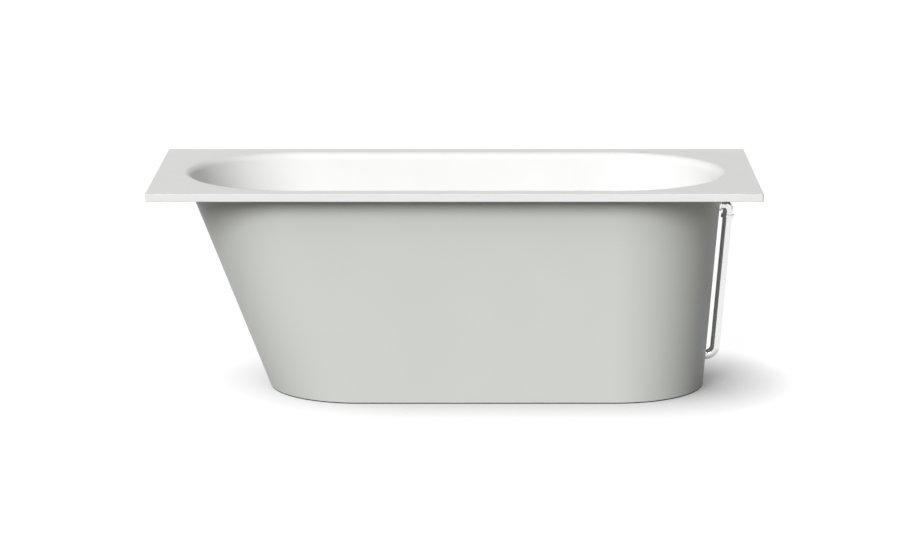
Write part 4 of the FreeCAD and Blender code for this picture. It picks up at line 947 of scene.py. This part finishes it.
for name, thread, passing, start, axis in (
        ("tee_top", TEE_SOCKET, WASTE_TUBE, (WASTE_X, 0, TEE_TOP_Z - GRIP), (0, 0, 1)),
        ("tee_port", TEE_PORT, PIPE_RADIUS, (WASTE_X + TEE_PORT_REACH - GRIP, 0, PIPE_ENTRY_Z), (1, 0, 0)),
        ("tail", TEE_RADIUS, TAIL_RADIUS, (WASTE_X, 0, TEE_END_Z + GRIP), (0, 0, -1))):
    add_piece(slip_nut("ribbed_nut_" + name, thread, passing, start, axis), [MOULDED_PLASTIC],
              "tub", name + "_nut")
add_piece(waste_tail(), [MOULDED_PLASTIC], "tub", "waste_tail")


# ----------------------------------------
# Overflow pipe: 28 mm chromed tube, outside the skirt from the elbow's slip nut down to near the floor,
# where it bends back through the skirt's grommet into the tee under the waste.

PIPE_WALL = 1.2
PIPE_GAP = 12.0
PIPE_BEND = 28.0
PIPE_INNER_END_X = WASTE_X + 30.3
ELBOW_RADIUS = 15.5
ELBOW_BORE = 12.5
ELBOW_BEND = 17.0
NUT_DROP = 28.0                     # from the elbow's corner to its slip nut
NUT_HEIGHT = 11.0
NUT_BELOW_ELBOW = 5.0               # the part of the slip nut that is past the elbow's end
NUT_RADIUS = 19.3
PIPE_IN_ELBOW = 13.7


def beside_skirt(z):
    """The pipe's middle line at a height: its gap and radius off the skirt's foot end."""
    sideways = (PIPE_GAP + PIPE_RADIUS) / math.cos(math.radians(SKIRT_LEANS[1]))
    return np.array([float(SKIRT.foot_x(z)) + sideways, 0.0, z])


PIPE_DOWN = -xyz(math.sin(math.radians(SKIRT_LEANS[1])), 0.0, math.cos(math.radians(SKIRT_LEANS[1])))
ELBOW_CORNER = beside_skirt(OVERFLOW_Z)
PIPE_CORNER = beside_skirt(PIPE_ENTRY_Z)
NUT_TOP = ELBOW_CORNER + PIPE_DOWN * NUT_DROP
ELBOW_END = NUT_TOP + PIPE_DOWN * (NUT_HEIGHT - NUT_BELOW_ELBOW)


def bent_line(start, corner, end, bend, arc_steps=24):
    """Two straight runs and the arc between them, as points and directions. The arc leaves each run where
    its middle is a bend radius from both."""
    start, corner, end = (np.array(p, float) for p in (start, corner, end))
    on = (corner - start) / np.linalg.norm(corner - start)
    off = (end - corner) / np.linalg.norm(end - corner)
    whole = math.acos(float(on @ off))
    run = bend * math.tan(whole / 2)
    side = off - on * float(on @ off)
    side /= np.linalg.norm(side)
    turn = np.linspace(0, whole, arc_steps + 1)[:, None]
    middle = corner - on * run + side * bend
    points = middle + bend * (np.sin(turn) * on - np.cos(turn) * side)
    directions = np.cos(turn) * on + np.sin(turn) * side
    return np.concatenate([[start], points, [end]]), np.concatenate([[on], directions, [off]])


def rings_along(points, directions, radius):
    """Circles square to a line in the plane y = 0, one at each of its points."""
    turn = full_turn(96)[None, :, None]
    across = np.array([0.0, 1.0, 0.0])
    sideways = np.cross(directions, across)[:, None, :]
    return points[:, None, :] + radius * (np.cos(turn) * sideways + np.sin(turn) * across)


def overflow_pipe():
    """Open tube along the bent line: its outer rings forward, then its inner rings back."""
    line = bent_line(ELBOW_END - PIPE_DOWN * PIPE_IN_ELBOW, PIPE_CORNER, (PIPE_INNER_END_X, 0, PIPE_ENTRY_Z),
                     PIPE_BEND)
    inside = rings_along(*line, PIPE_RADIUS - PIPE_WALL)[::-1]
    return ring_mesh("overflow_tube", np.concatenate([rings_along(*line, PIPE_RADIUS), inside]))


add_piece(overflow_pipe(), [POLISHED_CHROME], "tub", "overflow_pipe")


# ----------------------------------------
# Elbow: chromed brass casting through both walls, from the grid inside the basin to the pipe.

GASKET_RADIUS = 29.0
GASKET_MIN = 7.0                    # thickness of the bevelled gasket at its lower edge
ELBOW_START_X = float(BASIN.foot_x(OVERFLOW_Z - GASKET_RADIUS)) - GASKET_MIN
SOCKET_DEPTH = 14.0


def overflow_elbow():
    """Tube with a tight bend. Its socket for the pipe is wider inside."""
    start = (ELBOW_START_X, 0, OVERFLOW_Z)
    points, directions = bent_line(start, ELBOW_CORNER, ELBOW_END, ELBOW_BEND, 32)
    shoulder = ELBOW_END - PIPE_DOWN * SOCKET_DEPTH
    outside = rings_along(points, directions, ELBOW_RADIUS)
    socket = rings_along(np.array([ELBOW_END, shoulder]), directions[-2:], PIPE_RADIUS + THREAD_GAP)
    bore = rings_along(np.concatenate([points[:-1], [shoulder]]), directions, ELBOW_BORE)[::-1]
    return ring_mesh("overflow_bend", np.concatenate([outside, socket, bore]))


add_piece(overflow_elbow(), [POLISHED_CHROME], "tub", "overflow_elbow")


# ----------------------------------------
# Grommet: rubber ring in the skirt's lower hole, flush with its face, that the overflow pipe passes
# through.

GROMMET_LENGTH = 9.0


def upright_circle(radius, z, x=None, sunk=0.0):
    """Circle about a level line at height z, in the upright plane at x. Without x it lies on the skirt's
    foot end, sunk in its face."""
    turn = full_turn(96)
    y, height = radius * np.sin(turn), z + radius * np.cos(turn)
    return xyz(SKIRT.foot_x(height, y) - sunk if x is None else x, y, height)


def pipe_grommet():
    """Rings about the pipe, on the leaning face in front and on an upright plane behind."""
    inner, outer, z = PIPE_RADIUS + LOOSE, GROMMET_RADIUS, PIPE_ENTRY_Z
    back = float(SKIRT.foot_x(z)) - GROMMET_LENGTH
    rings = [upright_circle(radius, z, sunk=sunk)
             for radius, sunk in ((inner, 0.5), (inner + 0.5, 0.05), (outer - 0.4, 0.05), (outer, 0.4))]
    rings += [upright_circle(radius, z, back + step)
              for radius, step in ((outer, 0.5), (outer - 0.5, 0.0), (inner, 0.0))]
    return ring_mesh("pipe_ring_grommet", rings)


add_piece(pipe_grommet(), [BLACK_RUBBER], "tub", "pipe_grommet")


# ----------------------------------------
# Slip nut: chromed ring screwed over the elbow's end, which squeezes the pipe's sealing ring. Its
# outside has a turned groove, and its lower lip closes in round the pipe.

THIN_RING = 2.5
NUT_SOFTENING = 1.0
NUT_GROOVE = 0.4


def overflow_nut():
    """Profile from the thread over the outside and the groove to the lip and back."""
    outer, soft, high, cut = NUT_RADIUS, NUT_SOFTENING, NUT_HEIGHT, NUT_RADIUS - NUT_GROOVE
    thread, passing = ELBOW_RADIUS + THREAD_GAP, PIPE_RADIUS + LOOSE
    profile = [(thread, 0.0), *quarter((outer - soft, 0), (outer, soft), (outer, 0)),
               (outer, 2.6), (cut, 2.9), (cut, 3.3), (outer, 3.6),
               *quarter((outer, high - soft), (outer - soft, high), (outer, high)),
               *quarter((passing + 0.6, high), (passing, high - 0.6), (passing, high)),
               (passing, high - THIN_RING), (thread, high - THIN_RING)]
    return turned("overflow_slip_nut", profile, NUT_TOP, PIPE_DOWN)


add_piece(overflow_nut(), [POLISHED_CHROME], "tub", "overflow_nut")


# ----------------------------------------
# Rosette: chromed cup that covers the skirt's hole round the elbow. Its back follows the skirt.

ROSETTE_RADIUS = 20.5
ROSETTE_DEPTH = 5.0


def overflow_rosette():
    """Domed profile turned about the elbow, with its last two rings laid on the skirt's face."""
    bore, outer = ELBOW_RADIUS + THREAD_GAP, ROSETTE_RADIUS
    face = float(SKIRT.foot_x(OVERFLOW_Z)) + ROSETTE_DEPTH
    profile = [*quarter((bore + 0.6, 0), (bore, -0.6), (bore, 0))[::-1],
               *quarter((outer - 3.2, 0), (outer, -2.6), (outer, 0), 8)]
    rings = [upright_circle(radius, OVERFLOW_Z, face + x) for radius, x in profile]
    rings += [upright_circle(radius, OVERFLOW_Z) for radius in (outer, bore)]
    return ring_mesh("overflow_rosette_cup", rings)


add_piece(overflow_rosette(), [POLISHED_CHROME], "tub", "overflow_rosette")


# ----------------------------------------
# Overflow cover inside the basin: chromed cup, screwed to the grid behind it. Its face is slightly
# domed, its edge is rolled, and water runs in through the gap behind it.

COVER_RADIUS = 34.0
COVER_WALL = 2.5
COVER_DEPTH = 11.0
COVER_X = ELBOW_START_X - COVER_DEPTH
COVER_POST = 6.0
COVER_POST_END = 8.0
COVER_SCREW = 2.5


def overflow_cover():
    """Profile from the screw's hole over the face and the rolled edge, and back inside to the post."""
    outer, inner, wall, deep = COVER_RADIUS, COVER_RADIUS - COVER_WALL, COVER_WALL, COVER_DEPTH
    profile = [(COVER_SCREW, 0.7), (COVER_SCREW + 0.4, 0.3), (9.0, 0.25), (22.0, 0.0), (26.0, 0.0),
               *quarter((30.5, 0.35), (outer, 3.8), (outer, 0.2), 10),
               *quarter((outer, deep - 0.8), (outer - 0.8, deep), (outer, deep), 3),
               (inner + 0.6, deep), (inner, deep - 0.6), (inner, wall + 1.5), (inner - 1.5, wall),
               (COVER_POST, wall), (COVER_POST, COVER_POST_END), (COVER_SCREW, COVER_POST_END)]
    return turned("overflow_cup", profile, (COVER_X, 0, OVERFLOW_Z), (1, 0, 0), 128)


add_piece(overflow_cover(), [POLISHED_CHROME], "tub", "overflow_cover")


# ----------------------------------------
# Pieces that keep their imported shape, such as the seals, the tee, the cartridge and the spring. Each takes
# the finish of its material, and all but the spring get slightly softened edges.

MERGED = 1e-5                       # metres
SOFT_EDGE = 0.0003                  # metres
FINISHES = {
    "rubber_black": BLACK_RUBBER,
    "rubber_grey": plain_finish("grey rubber", (0.10, 0.10, 0.10), (0.13, 0.13, 0.13), 0.7),
    "plywood": PLY_FACE,
    "zinc_steel": ZINC_STEEL,
    "rail_steel": POWDER_COAT,
    "pad_plastic": PAD_PLASTIC,
    "packer_foam": plain_finish("packer rubber", (0.09, 0.09, 0.085), (0.13, 0.13, 0.12), 0.85, scale=400.0),
    "chrome": POLISHED_CHROME,
    "brass": MACHINED_BRASS,
    "fitting_plastic": MOULDED_PLASTIC,
    "spring_steel": plain_finish("spring steel", (0.45, 0.45, 0.47), (0.55, 0.55, 0.57), 0.25, 1.0),
    "acrylic_white": WHITE_ACRYLIC,
    "skirt_sage": SAGE_SKIN,
}
for subpart in frame["record"]["subparts"]:
    node = frame["nodes"][subpart["node"]]
    for slot in node.material_slots:
        slot.material = FINISHES[subpart["material_slot"]]
    if node.hide_render or subpart["node"] == "plug_spring":
        continue
    seams = node.modifiers.new("merged seams", "WELD")
    seams.merge_threshold = MERGED
    edges = node.modifiers.new("soft edges", "BEVEL")
    edges.width = SOFT_EDGE
    edges.segments = 2
    edges.angle_limit = SHARP_ANGLE
    node.modifiers.new("even shading", "WEIGHTED_NORMAL")


# ----------------------------------------
# Studio: white floor and surround. The main lamp is broad and low at the front left, with a weaker one high
# beside it, and four soft ones fill in. All are so far off that they light both ends alike. Its sizes are
# in metres.

FLOOR_SIZE = 30.0
FLOOR_GLOW = 0.95
FLOOR_PAINTED_SHADOW_GLOW = 0.20            # where the bath is close, in the painted shadow
FLOOR_OPENNESS = (0.30, 0.97)       # from the darkest to the brightest of the floor's glow
FLOOR_GAIN = 0.14
FLOOR_BOUNCE = 0.25                 # how much of its light the floor throws back up
PAINTED_SHADOW_REACH = 0.30                # how far the painted soft shadow round the foot of the bath spreads
PAINTED_SHADOW_LEAN = (-0.60, -0.26, 0.76)  # the painted soft shadow lies away from this side

# How mirrors see the surround: the axis, where along it the dimming starts and ends, and the brightness
# past there. These are overhead, to the right and behind.
MIRRORED = (("Z", 0.30, 0.55, 0.05), ("X", -0.1, 0.1, 0.80), ("Y", 0.6, 0.9, 0.65))


def floor_paint():
    """Pale floor, seen as paper white by a glow that fades where the bath stands close over the floor, a soft
    shadow painted into the glow. The camera and mirrors see the glow, and the bath gets only what a matt
    floor throws back."""
    material = bpy.data.materials.new("floor paint")
    material.use_nodes = True
    tree = material.node_tree
    tree.nodes.clear()
    # The glow dims with occlusion measured about a leaning normal, which is a soft shadow painted into the
    # floor.
    leaning = add_node(tree, "CombineXYZ", zip("XYZ", PAINTED_SHADOW_LEAN)).outputs["Vector"]
    painted_shadow = add_node(tree, "AmbientOcclusion", {"Distance": PAINTED_SHADOW_REACH, "Normal": leaning}, samples=16)
    strength = spread(tree, painted_shadow.outputs["AO"], FLOOR_PAINTED_SHADOW_GLOW, FLOOR_GLOW, *FLOOR_OPENNESS)
    glow = add_node(tree, "Emission", {"Strength": strength}).outputs["Emission"]
    gain, bounce = (add_node(tree, "BsdfDiffuse", {"Color": (grey, grey, grey)}).outputs["BSDF"]
                    for grey in (FLOOR_GAIN, FLOOR_BOUNCE))
    shown = add_node(tree, "AddShader", {0: glow, 1: gain}).outputs["Shader"]
    path = add_node(tree, "LightPath").outputs
    seen = larger(tree, path["Is Camera Ray"], path["Is Glossy Ray"])
    mixed = add_node(tree, "MixShader", {"Fac": seen, 1: bounce, 2: shown}).outputs["Shader"]
    add_node(tree, "OutputMaterial", {"Surface": mixed})
    return material


def studio_floor():
    """Square sheet under the bath, from corner to corner."""
    half = FLOOR_SIZE / 2
    corners = [(-half, -half, 0), (half, -half, 0), (half, half, 0), (-half, half, 0)]
    mesh = bpy.data.meshes.new("studio_floor")
    mesh.from_pydata(corners, [], [(0, 1, 2, 3)])
    mesh.materials.append(floor_paint())
    floor = bpy.data.objects.new("studio_floor", mesh)
    bpy.context.scene.collection.objects.link(floor)


def white_surround():
    """White to the camera. Mirrors see it darker in places, and it lights nothing itself."""
    world = bpy.data.worlds.new("studio")
    world.use_nodes = True
    tree = world.node_tree
    path = add_node(tree, "LightPath").outputs
    direction = add_node(tree, "SeparateXYZ", {"Vector": add_node(tree, "TexCoord").outputs["Generated"]})
    mirrored = path["Is Glossy Ray"]
    for axis, start, end, far in MIRRORED:
        share = spread(tree, direction.outputs[axis], 1.0, far, start, end)
        mirrored = add_node(tree, "Math", {0: mirrored, 1: share}, operation="MULTIPLY").outputs["Value"]
    background = tree.nodes["Background"].inputs
    feed(tree, background["Strength"], larger(tree, path["Is Camera Ray"], mirrored))
    feed(tree, background["Color"], (1.0, 1.0, 1.0))
    bpy.context.scene.world = world


def far_lamp(name, azimuth, elevation, breadth, strength, glints=True):
    """Parallel light of some breadth, in degrees, from an azimuth to the right of the front and a height.
    Without glints it doesn't show in mirrors."""
    lamp = bpy.data.lights.new(name, "SUN")
    lamp.energy = strength
    lamp.angle = math.radians(breadth)
    item = bpy.data.objects.new(name, lamp)
    item.rotation_euler = (math.radians(90 - elevation), 0.0, math.radians(azimuth))
    item.visible_glossy = glints
    bpy.context.scene.collection.objects.link(item)


studio_floor()
white_surround()
far_lamp("front_left", -25, 25, 25, 2.46)
far_lamp("front_high", -24, 50, 40, 1.19)
far_lamp("behind_left", -140, 25, 50, 0.22)
far_lamp("behind", 182, 22, 40, 0.55, glints=False)
far_lamp("overhead", 180, 70, 40, 0.46, glints=False)
far_lamp("front_right", 45, 20, 40, 0.25)


# ----------------------------------------
# Camera: a long lens above the rim, placed by fitting the rim, opening and skirt to the view. Its place and
# reach are in metres.

VIEW_PIXELS = 920.0
FOCAL_PIXELS = 3422.8
SHIFT_PIXELS = (-19.5, -0.6)
SENSOR_WIDTH = 36.0
CAMERA_PLACE = (0.0691, -9.6202, 2.2957)
CAMERA_TILT = 0.201                 # down, in radians
CAMERA_REACH = 60.0

camera_data = bpy.data.cameras.new("camera")
camera_data.sensor_width = SENSOR_WIDTH
camera_data.lens = FOCAL_PIXELS / VIEW_PIXELS * SENSOR_WIDTH
camera_data.shift_x = SHIFT_PIXELS[0] / VIEW_PIXELS
camera_data.shift_y = SHIFT_PIXELS[1] / VIEW_PIXELS
camera_data.clip_end = CAMERA_REACH
camera = bpy.data.objects.new("camera", camera_data)
camera.location = CAMERA_PLACE
camera.rotation_euler = (math.pi / 2 - CAMERA_TILT, 0.0, 0.0)
bpy.context.scene.collection.objects.link(camera)
bpy.context.scene.camera = camera
bpy.context.scene.view_settings.view_transform = "Standard"
